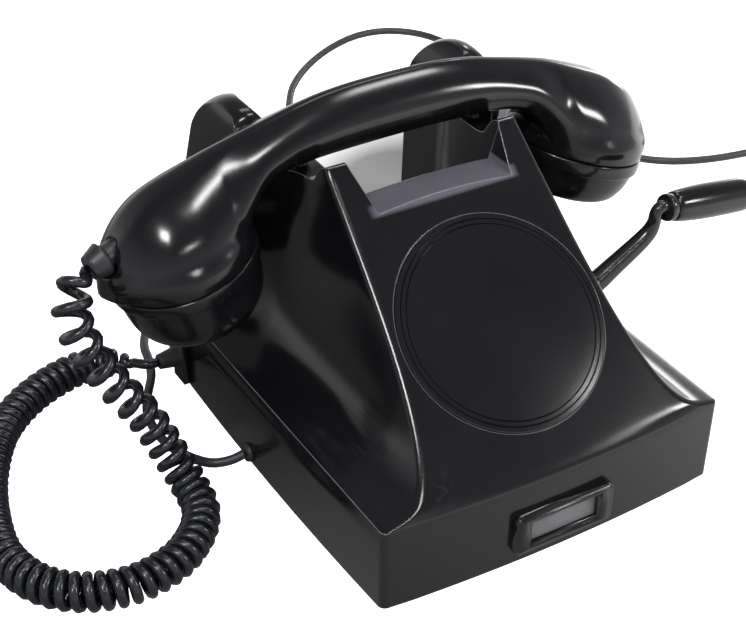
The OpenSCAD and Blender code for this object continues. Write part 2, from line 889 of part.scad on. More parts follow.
// Top of the handset, half width, underside, ridge: each by distance from the middle.
crown_stations = [[0, 0], [14, -0.2], [28, -1.2], [40, -3.2], [50, -5.6], [58, -7.6], [65, -9.4], [74, -12],
                  [84, -15.8], [94, -20], [102, -23.6], [109, -28], [115, -33.2], [120, -39.6], [124, -47],
                  [126, -53], [127, -58]];
half_stations = [[0, 0], [40, 0.1], [58, 1.6], [70, 5.5], [82, 11.5], [93, 14.4], [104, 13.4], [113, 9],
                 [120, 3], [124, -2.5], [126, -7.5], [127, -10.8]];
under_stations = [[0, 121.5], [30, 121], [48, 119.8], [58, 117.2], [65, 112], [70, 105.5], [74, 99.5],
                  [78, 94.5]];
ridge_stations = [[0, 2.2], [58, 2.4], [70, 2.9], [84, 4.6], [98, 6.2], [110, 7.2], [120, 6.4], [124, 4],
                  [127, 0.6]];
function crown(x) = handle_top + lookup(abs(x), crown_stations);
function half_at(x) = max(0.8, handle_half + lookup(abs(x), half_stations));
function joint_line(x) = joint_height + (cap_offset - abs(x)) * tan(cap_tilt) + 1.5;
function under_at(x) = abs(x) < 78 ? lookup(abs(x), under_stations) : min(joint_line(x), crown(x) - 1);
function ridge_at(x) = min(half_at(x) * 0.7, lookup(abs(x), ridge_stations));

shell_steps = [0, 14, 28, 40, 50, 58, 65, 70, 74, 78, 84, 89, 94, 98, 102, 106, 109, 112, 115, 118, 120,
               122, 124, 126, 127];
shell_x = concat([for (i = [len(shell_steps) - 1:-1:1]) -shell_steps[i]], shell_steps);

// One cross-section: flat below, widest low down, flanks drawn up to a narrow flat ridge.
function shell_ring(x) = let (
    top = crown(x),
    low = under_at(x),
    a = half_at(x),
    f = ridge_at(x),
    flat = a * mix(0.45, 0.96, ease((abs(x) - 60) / 25)),
    widest = low + (top - low) * mix(0.42, 0.16, ease((abs(x) - 60) / 30)),
    bend = widest + (top - widest) * 0.52,
    right = concat(
        [for (t = [0:22.5:90]) [flat + (a - flat) * sin(t), widest - (widest - low) * cos(t)]],
        [for (t = [0.2:0.2:0.8])
            [a * (1 - t * t) + f * t * t,
             widest * (1 - t) * (1 - t) + bend * 2 * t * (1 - t) + (top - 0.5) * t * t]],
        [[f, top - 0.5], [f * 0.6, top]]),
    n = len(right))
    concat([for (p = right) [x, hand_y + p[0], p[1]]],
           [for (i = [n - 1:-1:0]) [x, hand_y - right[i][0], right[i][1]]]);

grommet_foot = [-118, 19.2, 101.4];
grommet_tip = [-131, 16.6, 98.2];
module along(a, b) {
    d = b - a;
    translate(a)
        rotate([0, acos(d[2] / norm(d)), atan2(d[1], d[0])])
            children();
}

module handset_shell() color(black) place() {
    difference() {
        union() {
            skin([for (x = shell_x) shell_ring(x)]);
            for (side = [-1, 1])
                at_cap(side)
                    rotate_extrude($fn = 96)
                        polygon([[0, 0], [24.2, 0], [24.2, -5], [26.6, -5], [26.6, 0],
                                 [cap_radius - 0.9, 0], [cap_radius - 0.4, 0.6], [cap_radius - 0.5, 4], [cap_radius - 1.6, 7],
                                 [cap_radius - 5, 10], [cap_radius - 12, 12.6], [0, 14]]);
        }
        for (side = [-1, 1])
            at_cap(side)
                translate([0, 0, -1])
                    cylinder(r = 24.2, h = 11);
        along(grommet_foot, grommet_tip) {
            cylinder(r = 5.4, h = 20);
            translate([0, 0, 5.7])
                cylinder(r = 7.3, h = 20);
        }
    }
}

// A screwed cap: lip, barrel and face as one turned wall.
module cap_body(barrel_end, face_end, face_radius) {
    r = cap_radius;
    rotate_extrude($fn = 96)
        polygon([[26.8, -0.3], [r - 0.4, -0.3], [r, -1], [r, -5.2], [r - 0.6, -6.1], [r - 1.5, -6.6],
                 [r - 2.2, mix(-6.6, barrel_end, 0.5)], [r - 3.4, barrel_end],
                 [mix(face_radius, r - 3.4, 0.55), face_end + 1.9], [face_radius, face_end + 0.2],
                 [face_radius - 4, face_end], [0, face_end + 1.6], [0, face_end + 4.2],
                 [face_radius - 3, face_end + 2.6], [mix(face_radius, r - 6, 0.6), barrel_end + 0.4],
                 [r - 5, mix(-6.6, barrel_end, 0.4)], [26.8, -6]]);
}

module sound_holes(face_end, hole, rows) {
    translate([0, 0, face_end - 3]) {
        cylinder(d = hole, h = 9, $fn = 24);
        for (row = [1:rows], i = [0:6 * row - 1])
            rotate([0, 0, 60 / row * i])
                translate([5.2 * row, 0, 0])
                    cylinder(d = hole, h = 9, $fn = 24);
    }
}

// Depth of each cap below the joint, depth of its barrel, radius of its face.
mouth_depth = 27.8;
mouth_barrel = 21;
mouth_face = 21.5;
ear_depth = 20.6;
ear_barrel = 14;
ear_face = 21;
sound_hole = 2.6;

module mouthpiece_cap() color(black) place() {
    at_cap(-1)
        difference() {
            cap_body(-mouth_barrel, -mouth_depth, mouth_face);
            sound_holes(-mouth_depth, sound_hole, 2);
        }
}

module earpiece_cap() color(black) place() {
    at_cap(1)
        difference() {
            cap_body(-ear_barrel, -ear_depth, ear_face);
            sound_holes(-ear_depth, sound_hole, 1);
        }
}

module capsule(bulge) {
    rotate_extrude($fn = 64)
        polygon([[0, 9.9], [21, 9.9], [23.9, 8], [23.9, -1.5], [22.5, -3], [14, -3], [0, -3 - bulge]]);
}

module transmitter_capsule() color(steel) place() {
    at_cap(-1)
        capsule(3.5);
}

module receiver_capsule() color(steel) place() {
    at_cap(1)
        capsule(1.5);
}

module handset_grommet() color(rubber_grey) place() {
    reach = norm(grommet_tip - grommet_foot);
    along(grommet_foot, grommet_tip) {
        cylinder(r = 5.1, h = 6);
        translate([0, 0, 6])
            cylinder(r1 = 5.1, r2 = 7, h = 1.2);
        translate([0, 0, 7.2])
            cylinder(r1 = 7, r2 = 5, h = reach - 7.2);
    }
}

// Cord fittings

boot_y = 58;
boot_z = 14;
gland_y = -5;
gland_z = 5;
skirt_x = full_half(boot_y, boot_z) + side_swell * (1 - pow((2 * boot_y + front_depth - rear_depth)
    / (front_depth + rear_depth), 2));
gland_x = full_half(gland_y, gland_z) + side_swell * (1 - pow((2 * gland_y + front_depth - rear_depth)
    / (front_depth + rear_depth), 2));
boot_reach = 12;

module cord_boot() color(rubber_grey) place() {
    translate([-skirt_x, boot_y, boot_z]) {
        bar_x(-1, wall + 3, 7.9);
        translate([-2.9, -5, -12.5])
            cube([2.5, 10, 20]);
        rotate([0, -90, 0])
            translate([0, 0, 2.8])
                cylinder(d1 = 9.5, d2 = 6.5, h = boot_reach - 2.8);
    }
}

module line_gland() color(rubber_grey) place() {
    translate([-gland_x, gland_y, gland_z]) {
        bar_x(-1.4, wall + 3, 6.4);
        rotate([0, -90, 0])
            translate([0, 0, 0.1])
                cylinder(d1 = 8.4, d2 = 7, h = 1.8);
    }
}

// Cords

// Hand-laid routes: points of [x, y, z] and, for the handset cord, a radius at each.
tail_radius = 2.1;
handset_route = [
    [-131.9, 16.4, 98, 2.1], [-134, 16, 97.2, 4.2], [-137.5, 15, 93.5, 7.5], [-141, 12, 86, 7.75],
    [-140.5, 10, 77, 7.75], [-137.5, 8, 68, 7.75], [-133, 6, 58, 7.75], [-127.5, 3, 48, 7.75],
    [-122, 0, 39, 7.75], [-118, -4, 30, 7.75], [-114.5, -10, 20, 7.75], [-112, -18, 11.5, 7.75],
    [-113, -30, 8.2, 7.75], [-121, -42, 8, 7.75], [-134, -51, 8, 7.75], [-152, -54, 8, 7.75],
    [-170, -48, 8, 7.75], [-182, -35, 8, 7.75], [-187, -16, 8, 7.75], [-184, 6, 8, 7.75],
    [-176, 30, 8, 7.75], [-162, 54, 8, 7.75], [-143, 70, 8, 7.75], [-122, 78, 8, 7.75],
    [-109, 75, 9.4, 7.2], [-102.5, 69.5, 11.6, 4.4], [-98.5, 63, 13.4, 2.1], [-94.8, 58.8, 14, 2.1],
    [-90.4, 58, 14, 2.1]];
line_route = [
    [-82, -5, 5], [-88, -4, 3.4], [-95, 0, 2.3], [-101, 9, 2.1], [-104.5, 20, 2.1], [-105, 32, 2.1],
    [-102.5, 44, 2.1], [-97, 55, 2.1], [-91, 65, 2.1], [-87, 76, 2.1], [-84, 88, 2.1], [-76, 101, 2.1],
    [-62, 113, 2.1], [-40, 127, 2.1], [-12, 145, 2.1], [18, 170, 2.1], [46, 202, 2.1], [68, 235, 2.1],
    [82, 258, 2.1], [96, 279, 2.1], [116, 298, 2.1], [140, 313, 2.1], [164, 321, 2.1], [184, 317, 2.1],
    [199, 303, 2.1], [206, 282, 2.1], [207, 256, 2.1], [206, 225, 2.1], [204, 190, 2.1], [205, 155, 2.1],
    [209, 130, 2.1], [217, 113, 2.1], [231, 101, 2.1], [250, 93, 2.1], [271, 88.5, 2.1], [292, 86, 2.1],
    [314, 85, 2.1], [330, 85, 2.1]];

function path_point(route, s) = let (i = min(floor(s), len(route) - 2), t = s - i,
    p0 = route[max(0, i - 1)], p1 = route[i], p2 = route[i + 1], p3 = route[min(len(route) - 1, i + 2)])
    0.5 * (2 * p1 + (p2 - p0) * t + (2 * p0 - 5 * p1 + 4 * p2 - p3) * t * t
           + (3 * p1 - p0 - 3 * p2 + p3) * t * t * t);

function tube_ring(route, s, sides, radius) = let (
    last = len(route) - 1,
    p = path_point(route, s),
    q0 = path_point(route, max(0, s - 0.05)),
    q1 = path_point(route, min(last, s + 0.05)),
    d = unit([q1[0] - q0[0], q1[1] - q0[1], q1[2] - q0[2]]),
    side = unit(cross([0, 0, 1], d)),
    up = cross(d, side),
    r = radius > 0 ? radius : p[3])
    [for (k = [0:sides - 1]) let (a = 360 / sides * k)
        [p[0], p[1], p[2]] + r * (cos(a) * side + sin(a) * up)];

module handset_cord() color(black) place() {
    last = len(handset_route) - 1;
    skin([for (k = [0:last]) tube_ring(handset_route, k, 12, 0)]);
}

module line_cord() color(black) place() {
    last = len(line_route) - 1;
    skin([for (k = [0:1.4:last - 0.2]) tube_ring(line_route, k, 8, cord_diameter / 2)]);
}

coil_centre = [331, 109, 0];
coil_radius = 22;
coil_turns_high = 8.6;
module line_coil() color(black) place() {
    translate(coil_centre)
        rotate_extrude($fn = 64)
            polygon([[coil_radius - 4, 0.2], [coil_radius + 4, 0.2], [coil_radius + 4, coil_turns_high],
                     [coil_radius - 4, coil_turns_high]]);
    // The end of the cord runs straight from the coil to the plug.
    translate([coil_centre[0], plug_place[1], 6])
        bar_x(0, plug_place[0] - coil_centre[0] - plug_half - relief_long - 0.05, cord_diameter);
}

plug_half = 16;
relief_long = 9;
plug_place = [373.6, 85, 0];
module line_plug() color(black) place() {
    translate(plug_place)
        rotate([0, 0, -90]) {
            round_plate(18, 2 * plug_half, 4, 16);
            translate([0, -plug_half, 6])
                rotate([90, 0, 0])
                    cylinder(d1 = 11, d2 = 7, h = relief_long);
        }
}

module plug_pins() color(brass) place() {
    translate(plug_place)
        rotate([0, 0, -90])
            for (s = [-1, 1])
                translate([s * 5, plug_half, 8])
                    rotate([-90, 0, 0])
                        cylinder(d = 4, h = 18);
}

case_shell();
base_plate();
rubber_feet();
case_screws();
round_cover();
cover_ring();
label_frame();
label_card();
label_window();
crank_bush();
crank_shaft();
drive_gear();
crank_arm();
knob_pin();
crank_knob();
magneto_frame();
magneto_magnets();
armature_core();
armature_pinion();
cradle_plungers();
hook_contacts();
ringer_coils();
gongs();
gong_posts();
clapper();
induction_coil();
capacitor();
terminal_board();
terminal_screws();
handset_shell();
mouthpiece_cap();
earpiece_cap();
transmitter_capsule();
receiver_capsule();
handset_grommet();
cord_boot();
line_gland();
handset_cord();
line_cord();
line_coil();
line_plug();
plug_pins();
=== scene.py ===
# %% [markdown]
# # A hand-crank desk telephone in black moulded plastic
# The solids were designed first, in a CAD program, and they fix every size. This file dresses them: it
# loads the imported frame, lays the two cords, models the visible shells finely enough for gloss, and
# gives every piece a finish made from nodes. Sizes are in millimetres unless a name or a comment says
# metres.

# %% Load the frame
import bpy
import math
from mathutils import Vector, Matrix


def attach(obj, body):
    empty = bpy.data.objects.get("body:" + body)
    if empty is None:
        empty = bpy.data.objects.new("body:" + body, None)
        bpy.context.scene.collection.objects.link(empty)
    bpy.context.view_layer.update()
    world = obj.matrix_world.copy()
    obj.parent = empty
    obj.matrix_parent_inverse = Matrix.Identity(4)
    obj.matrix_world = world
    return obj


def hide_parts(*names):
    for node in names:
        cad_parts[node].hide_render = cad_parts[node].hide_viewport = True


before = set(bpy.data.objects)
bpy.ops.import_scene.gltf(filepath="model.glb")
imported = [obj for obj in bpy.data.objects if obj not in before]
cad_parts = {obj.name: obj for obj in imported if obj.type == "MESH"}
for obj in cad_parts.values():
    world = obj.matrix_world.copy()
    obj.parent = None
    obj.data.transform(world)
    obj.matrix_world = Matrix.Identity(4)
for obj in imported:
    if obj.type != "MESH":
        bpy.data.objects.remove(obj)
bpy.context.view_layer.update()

# %% [markdown]
# The drawings of the telephone count in millimetres from a point on the table under the case, while the
# frame counts in metres from the middle of its bounding box. One small helper turns the first into the
# second, so that every size below can be read off the drawings.

# %% From the drawings to the frame
DATUM = Vector((1.8, -15.6, 0.0))


def at(x, y, z):
    """A point of the drawings, in the frame's metres."""
    return (Vector((x, y, z)) - DATUM) / 1000


def drop_selection():
    """Nothing stays selected, because an operator acts on all that is."""
    for thing in bpy.context.selected_objects:
        thing.select_set(False)


def pick(thing):
    drop_selection()
    thing.select_set(True)
    bpy.context.view_layer.objects.active = thing


def bake_place(thing):
    """Moves an object's place, turn and size into its mesh."""
    pick(thing)
    bpy.ops.object.transform_apply(location=True, rotation=True, scale=True)


# %% [markdown]
# The camera comes first. It stands to the left of the front and looks down by 35 degrees, with a lens
# of 77 mm, because the edges of the case and the rims of the round cover and the caps agree with the
# photograph from there.

# %% Camera
EYE = at(-298.54, -456.26, 419.39)
LOOK = Vector((0.42931, 0.69915, -0.57174)).normalized()
ROLL = math.radians(0.92)
SENSOR = 36
FOCAL_PIXELS, FRAME_PIXELS = 1593.9, 746
level = LOOK.cross(Vector((0, 0, 1))).normalized()
upright = level.cross(LOOK)
cam_right = math.cos(ROLL) * level + math.sin(ROLL) * upright
cam_up = math.cos(ROLL) * upright - math.sin(ROLL) * level
turn = Matrix((cam_right, cam_up, -LOOK)).transposed().to_4x4()

drop_selection()
bpy.ops.object.camera_add(location=EYE)
camera = bpy.context.object
camera.name = "photo_camera"
camera.matrix_world = Matrix.Translation(EYE) @ turn
camera.data.sensor_width = SENSOR
camera.data.lens = FOCAL_PIXELS / FRAME_PIXELS * SENSOR
camera.data.clip_end = 20
bpy.context.scene.camera = camera
print("camera at", [round(v, 3) for v in EYE], "lens", round(camera.data.lens, 1))

# %% [markdown]
# ## The cords
# The handset hangs on a curly cord. On the real one a straight flex is wound on a rod and baked, so it
# is a helix: here its middle line is laid through listed points, and the wire is wound round that line. The
# turns touch where the cord lies on the table and open where its own weight pulls them apart.

# %% A smooth line through listed points
def through(points, t):
    """Catmull-Rom line: t counts points, each point may carry more than three numbers."""
    i = min(int(t), len(points) - 2)
    f = t - i
    a, b, c, d = (points[max(0, i - 1)], points[i], points[i + 1], points[min(len(points) - 1, i + 2)])
    return [0.5 * (2 * q + (r - p) * f + (2 * p - 5 * q + 4 * r - s) * f * f
                   + (3 * q - p - 3 * r + s) * f ** 3)
            for p, q, r, s in zip(a, b, c, d)]


def poly_curve(name, points, radius):
    """An open curve of straight steps with a round section. Its points carry the radius, because the box
    of a curve reaches out by the radius of its points and not by its bevel."""
    data = bpy.data.curves.new(name, "CURVE")
    data.dimensions = "3D"
    line = data.splines.new("POLY")
    line.points.add(len(points) - 1)
    for dot, place in zip(line.points, points):
        dot.co = (*place, 1)
        dot.radius = radius
    data.bevel_depth = 1.0
    data.bevel_resolution = 3
    data.use_fill_caps = True
    thing = bpy.data.objects.new(name, data)
    bpy.context.scene.collection.objects.link(thing)
    return thing


def length_of(points):
    return sum((b - a).length for a, b in zip(points, points[1:]))


# %% Handset cord
WIRE = 4.2
CURL = 15.5
SPIRAL = (CURL - WIRE) / 2
# Middle line of the curls: x, y, z, radius of the spiral, distance between turns.
curly_line = [
    (-131.9, 16.4, 98, 0, 9), (-134, 16, 97.2, 2.2, 9), (-137.5, 15, 93.5, 5.3, 9),
    (-141, 12, 86, SPIRAL, 9.5), (-140.5, 10, 77, SPIRAL, 10), (-137.5, 8, 68, SPIRAL, 10),
    (-133, 6, 58, SPIRAL, 9.5),
    (-127.5, 3, 48, SPIRAL, 9), (-122, 0, 39, SPIRAL, 8), (-118, -4, 30, SPIRAL, 7),
    (-114.5, -10, 20, SPIRAL, 6), (-112, -18, 11.5, SPIRAL, 5.4), (-113, -30, 8.2, SPIRAL, 5),
    (-121, -42, 8, SPIRAL, 4.9), (-134, -51, 8, SPIRAL, 4.9), (-152, -54, 8, SPIRAL, 4.9),
    (-170, -48, 8, SPIRAL, 4.9), (-182, -35, 8, SPIRAL, 4.9), (-187, -16, 8, SPIRAL, 4.9),
    (-184, 6, 8, SPIRAL, 4.9), (-176, 30, 8, SPIRAL, 4.9), (-162, 54, 8, SPIRAL, 4.9),
    (-143, 70, 8, SPIRAL, 5), (-122, 78, 8, SPIRAL, 5), (-109, 75, 9.4, 5.2, 5.2),
    (-102.5, 69.5, 11.6, 2.3, 6), (-98.5, 63, 13.4, 0, 8), (-94.8, 58.8, 14, 0, 9), (-90.4, 58, 14, 0, 9)]


def wind(line, per_turn, steps=40):
    """Walks along the middle line and winds the wire round it."""
    fine = [through(line, t / steps) for t in range(steps * (len(line) - 1) + 1)]
    spots = [Vector(f[:3]) for f in fine]
    wound, phase, carry = [], 0.0, 0.0
    side = Vector((0, 1, 0))
    for k in range(len(spots) - 1):
        step = spots[k + 1] - spots[k]
        ahead = step.normalized()
        side = (side - ahead * side.dot(ahead)).normalized()
        up = ahead.cross(side)
        pitch = fine[k][4]
        gap = pitch / per_turn
        reach = step.length
        while carry < reach:
            share = carry / reach
            angle = phase + 2 * math.pi * carry / pitch
            r = max(0.0, fine[k][3] * (1 - share) + fine[k + 1][3] * share)
            wound.append(spots[k] + step * share + r * (math.cos(angle) * side + math.sin(angle) * up))
            carry += gap
        phase += 2 * math.pi * reach / pitch
        carry -= reach
    wound.append(spots[-1])
    return [at(*p) for p in wound]


handset_wire = wind(curly_line, per_turn=14)
handset_flex = poly_curve("handset_flex", handset_wire, WIRE / 2000)
flex_length = length_of(handset_wire)
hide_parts("handset_cord")
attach(handset_flex, "base")
print("handset flex:", len(handset_wire), "points,", round(flex_length, 2), "m")

# %% [markdown]
# The line cord is thin and soft. It leaves the case near the floor, turns round the rear left corner,
# runs in a wide bow behind the telephone and leaves the picture on the right. What the photograph does
# not show of it lies just outside the picture in a small coil of four turns, with the plug beside it.

# %% Line cord
LINE = 4.0
line_points = [
    (-82, -5, 5), (-88, -4, 3.4), (-95, 0, 2.3), (-101, 9, 2.1), (-104.5, 20, 2.1), (-105, 32, 2.1),
    (-102.5, 44, 2.1), (-97, 55, 2.1), (-91, 65, 2.1), (-87, 76, 2.1), (-84, 88, 2.1), (-76, 101, 2.1),
    (-62, 113, 2.1), (-40, 127, 2.1), (-12, 145, 2.1), (18, 170, 2.1), (46, 202, 2.1), (68, 235, 2.1),
    (82, 258, 2.1), (96, 279, 2.1), (116, 298, 2.1), (140, 313, 2.1), (164, 320.6, 2.1), (184, 317, 2.1),
    (199, 303, 2.1), (206, 282, 2.1), (207, 256, 2.1), (206, 225, 2.1), (204, 190, 2.1), (205, 155, 2.1),
    (209, 130, 2.1), (217, 113, 2.1), (231, 101, 2.1), (250, 93, 2.1), (271, 88.5, 2.1), (292, 86, 2.1),
    (314, 85, 2.1)]
COIL = (331, 109)


def coil_point(turns, radius, z):
    a = math.radians(-90 + 360 * turns)
    return COIL[0] + radius * math.cos(a), COIL[1] + radius * math.sin(a), z


laid = [through(line_points, t / 3) for t in range(3 * (len(line_points) - 1) + 1)]
# Four turns: outside low, inside low, inside high, outside high. A stage is turns, radius, height.
OUTSIDE, INSIDE, LOW, HIGH = 24, 19.8, 2.1, 6.3
PER_TURN = 24
stages = [(0.0, OUTSIDE, LOW), (0.9, OUTSIDE, LOW), (1.1, INSIDE, LOW), (1.9, INSIDE, LOW),
          (2.1, INSIDE, HIGH), (2.9, INSIDE, HIGH), (3.1, OUTSIDE, HIGH), (4.0, OUTSIDE, HIGH)]
for k in range(1, 4 * PER_TURN + 1):
    turns = k / PER_TURN
    n = min(max(i for i, stage in enumerate(stages) if stage[0] <= turns), len(stages) - 2)
    a, b = stages[n], stages[n + 1]
    f = (turns - a[0]) / (b[0] - a[0])
    f = f * f * (3 - 2 * f)
    laid.append(coil_point(turns, a[1] + (b[1] - a[1]) * f, a[2] + (b[2] - a[2]) * f))
# From the coil a short straight end leads into the plug.
laid += [(336, 85, 6.2), (341, 85, 6.05), (346, 85, 6), (350.1, 85, 6)]
line_wire = [at(*p[:3]) for p in laid]
line_flex = poly_curve("line_flex", line_wire, LINE / 2000)
line_length = length_of(line_wire)
print("line flex:", len(line_wire), "points,", round(line_length, 2), "m")

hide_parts("line_cord", "line_coil")
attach(line_flex, "base")

# %% [markdown]
# ## Studio
# The telephone stands on a wide pale floor that curves up far behind it, as a paper roll does in a
# studio. Gloss shows a lamp only where it mirrors one. So each soft lamp is placed from a point that
# has a highlight in the photograph, along the direction in which that point mirrors the camera's view.
# The air round it all is pale near the floor and dims upwards.

# %% Floor
# In metres: how wide and long the paper is, how far it lies flat, and the radius of its rise.
PAPER_WIDTH, PAPER_LENGTH, FLAT_PART, RISE_RADIUS = 12, 8, 2.2, 1.6
drop_selection()
bpy.ops.mesh.primitive_grid_add(x_subdivisions=2, y_subdivisions=48, size=1)
floor = bpy.context.object
floor.name = "paper_floor"
for v in floor.data.vertices:
    reach = v.co.y * PAPER_LENGTH
    angle = min(max(0.0, reach - FLAT_PART) / RISE_RADIUS, math.pi / 2)
    v.co = Vector((v.co.x * PAPER_WIDTH, min(reach, FLAT_PART) + RISE_RADIUS * math.sin(angle),
                   RISE_RADIUS * (1 - math.cos(angle))))
floor.data.update()
print("floor of", len(floor.data.polygons), "faces")


# %% Lamps
LAMP_REACH = 1.6


def soft_lamp(name, spot, toward, along, size, glow):
    """An area lamp, in metres, away from a spot of the telephone. Its first side runs along a direction,
    and glow is how bright its face is."""
    back = Vector(toward).normalized()
    side = (Vector(along) - back * back.dot(Vector(along))).normalized()
    place = Vector(spot) + back * LAMP_REACH
    drop_selection()
    bpy.ops.object.light_add(type="AREA")
    lamp = bpy.context.object
    lamp.name = name
    facing = Matrix((side, back.cross(side), back)).transposed().to_4x4()
    lamp.matrix_world = Matrix.Translation(place) @ facing
    lamp.data.shape = "RECTANGLE"
    lamp.data.size, lamp.data.size_y = size
    lamp.data.energy = glow * math.pi * size[0] * size[1]


soft_lamp("lamp_handle", (-0.007, 0.031, 0.144), (0.46, -0.09, 0.88), (1, 0.3, -0.4), (0.45, 0.16), 22)
soft_lamp("lamp_back", (0.0, 0.01, 0.12), (0.30, 0.42, 0.85), (1, 0, -0.3), (0.75, 0.35), 4.5)
soft_lamp("lamp_left", (-0.05, -0.03, 0.09), (-0.55, -0.36, 0.75), (-1, 1, 0), (0.3, 0.22), 55)
soft_lamp("lamp_front", (-0.100, 0.012, 0.108), (-0.16, -0.82, 0.55), (1, 0, 0), (0.16, 0.09), 34)
soft_lamp("lamp_right", (0.078, 0.016, 0.117), (0.62, -0.62, 0.48), (0, 0.3, 1), (0.26, 0.24), 44)
soft_lamp("lamp_bend", (-0.065, 0.025, 0.131), (-0.03, -0.35, 0.935), (1, 0.1, 0), (0.42, 0.14), 44)
soft_lamp("lamp_knob", (0.095, -0.03, 0.096), (0.57, 0.69, 0.44), (0.69, -0.57, 0), (0.12, 0.12), 16)
soft_lamp("lamp_far_right", (0.073, -0.065, 0.038), (0.82, 0.57, 0.06), (0.57, -0.82, 0), (0.5, 0.26), 6)
print("lamps:", len(bpy.data.lights))

# %% Air
world = bpy.data.worlds.new("studio_air")
bpy.context.scene.world = world
world.use_nodes = True
sky = world.node_tree
sky.nodes["Background"].inputs[0].default_value = (0.95, 0.97, 1.0, 1)
direction = sky.nodes.new("ShaderNodeTexCoord")
height = sky.nodes.new("ShaderNodeSeparateXYZ")
fade = sky.nodes.new("ShaderNodeMapRange")
for socket, value in (("From Min", 0.05), ("From Max", 0.6), ("To Min", 1.0), ("To Max", 0.26)):
    fade.inputs[socket].default_value = value
sky.links.new(direction.outputs["Generated"], height.inputs[0])
sky.links.new(height.outputs[2], fade.inputs["Value"])
sky.links.new(fade.outputs[0], sky.nodes["Background"].inputs["Strength"])
bpy.context.scene.view_settings.view_transform = "Standard"
print("air:", world.name)


# %% [markdown]
# ## Finishes
# Every finish is a small set of nodes. One class wraps a socket, so that sums on values can be written
# as Python sums, and one method makes any other node. The finishes vary over a piece by noise on its
# own coordinates, which are in metres.

# %% A socket that can be reckoned with
def plug(tree, slot, value):
    """Links a wire to an input, or sets the input to a value."""
    if isinstance(value, Wire):
        tree.links.new(value.socket, slot)
    else:
        slot.default_value = value


class Wire:
    """An output socket of a material. Plus, minus and times add Math nodes."""

    def __init__(self, tree, socket):
        self.tree, self.socket = tree, socket

    def sum_with(self, operation, a, b):
        node = self.tree.nodes.new("ShaderNodeMath")
        node.operation = operation
        for slot, value in zip(node.inputs, (a, b)):
            plug(self.tree, slot, value)
        return Wire(self.tree, node.outputs[0])

    def __add__(self, other):
        return self.sum_with("ADD", self, other)

    def __radd__(self, other):
        return self.sum_with("ADD", other, self)

    def __rsub__(self, other):
        return self.sum_with("SUBTRACT", other, self)

    def __mul__(self, other):
        return self.sum_with("MULTIPLY", self, other)


# %% A material under construction
class Finish:
    def __init__(self, name, **fixed):
        self.material = bpy.data.materials.new(name)
        self.material.use_nodes = True
        self.tree = self.material.node_tree
        self.shader = self.tree.nodes["Principled BSDF"]
        for key, value in fixed.items():
            self.shader.inputs[key.replace("_", " ")].default_value = value
        self.place = self.node("ShaderNodeTexCoord", "Object")

    def node(self, kind, output=0, settings=None, stops=None, **links):
        """Makes a node: settings and stops first, then the values or links of its inputs."""
        node = self.tree.nodes.new(kind)
        for key, value in (settings or {}).items():
            setattr(node, key, value)
        if stops:
            ramp = node.color_ramp
            while len(ramp.elements) < len(stops):
                ramp.elements.new(0.5)
            for element, (spot, value) in zip(ramp.elements, stops):
                element.position = spot
                element.color = (value, value, value, 1)
        for key, value in links.items():
            plug(self.tree, node.inputs[key.replace("_", " ")], value)
        return Wire(self.tree, node.outputs[output])

    def feed(self, **links):
        for key, value in links.items():
            self.tree.links.new(value.socket, self.shader.inputs[key.replace("_", " ")])

    def noise(self, scale, detail, stretch=None, rough=0.5):
        where = self.place
        if stretch:
            where = self.node("ShaderNodeMapping", Vector=self.place, Scale=stretch)
        return self.node("ShaderNodeTexNoise", Vector=where, Scale=scale, Detail=detail, Roughness=rough)

    def ramp(self, value, low, high, first=0.0, last=1.0):
        """Turns low to high into first to last."""
        return self.node("ShaderNodeMapRange", Value=value, From_Min=low, From_Max=high, To_Min=first,
                         To_Max=last)

    def near(self, spot, inner, outer):
        """1 within the inner radius of a point, 0 beyond the outer one."""
        gap = self.node("ShaderNodeVectorMath", 1, {"operation": "DISTANCE"}, Vector=self.place)
        gap.socket.node.inputs[1].default_value = spot
        return self.ramp(gap, inner, outer, 1.0, 0.0)

    def parts(self):
        """The coordinates of the piece, each a wire of its own."""
        node = self.tree.nodes.new("ShaderNodeSeparateXYZ")
        self.tree.links.new(self.place.socket, node.inputs[0])
        return [Wire(self.tree, socket) for socket in node.outputs]

    def colour_mix(self, share, a, b):
        node = self.tree.nodes.new("ShaderNodeMix")
        node.data_type = "RGBA"
        self.tree.links.new(share.socket, node.inputs[0])
        for slot, value in ((node.inputs[6], a), (node.inputs[7], b)):
            plug(self.tree, slot, value if isinstance(value, Wire) else (*value, 1))
        return Wire(self.tree, node.outputs[2])

    def surface(self, height, strength, distance, edge=0.0):
        """Bump from a height, over edges that are rounded by the given radius."""
        links = {"Height": height, "Strength": strength, "Distance": distance}
        if edge:
            links["Normal"] = self.node("ShaderNodeBevel", settings={"samples": 6}, Radius=edge)
        return self.node("ShaderNodeBump", **links)


# %% [markdown]
# The case and the handset are pressed from black phenolic resin. It is glossy where hands have kept it
# polished, slightly wavy from the press, and dusted with fine scratches. The case has more to show: a
# painted grey highlight lies along its sharpest edges, the ridge between the front posts is painted a
# lighter grey, and the front plate has a rubbed patch low on the left.

# %% Black moulded resin
# The first grey is painted as a highlight along the sharpest edges.
EDGE_HIGHLIGHT_GREY, RIDGE_GREY, RUBBED_GREY = (0.3, 0.3, 0.33), (0.10, 0.096, 0.118), (0.16, 0.16, 0.17)
# The lighter grey ridge, in metres: it fades out between the two numbers of each pair.
RIDGE_SIDE, RIDGE_LOW, RIDGE_HIGH = (0.031, 0.034), (0.1104, 0.1114), (0.1135, 0.1145)


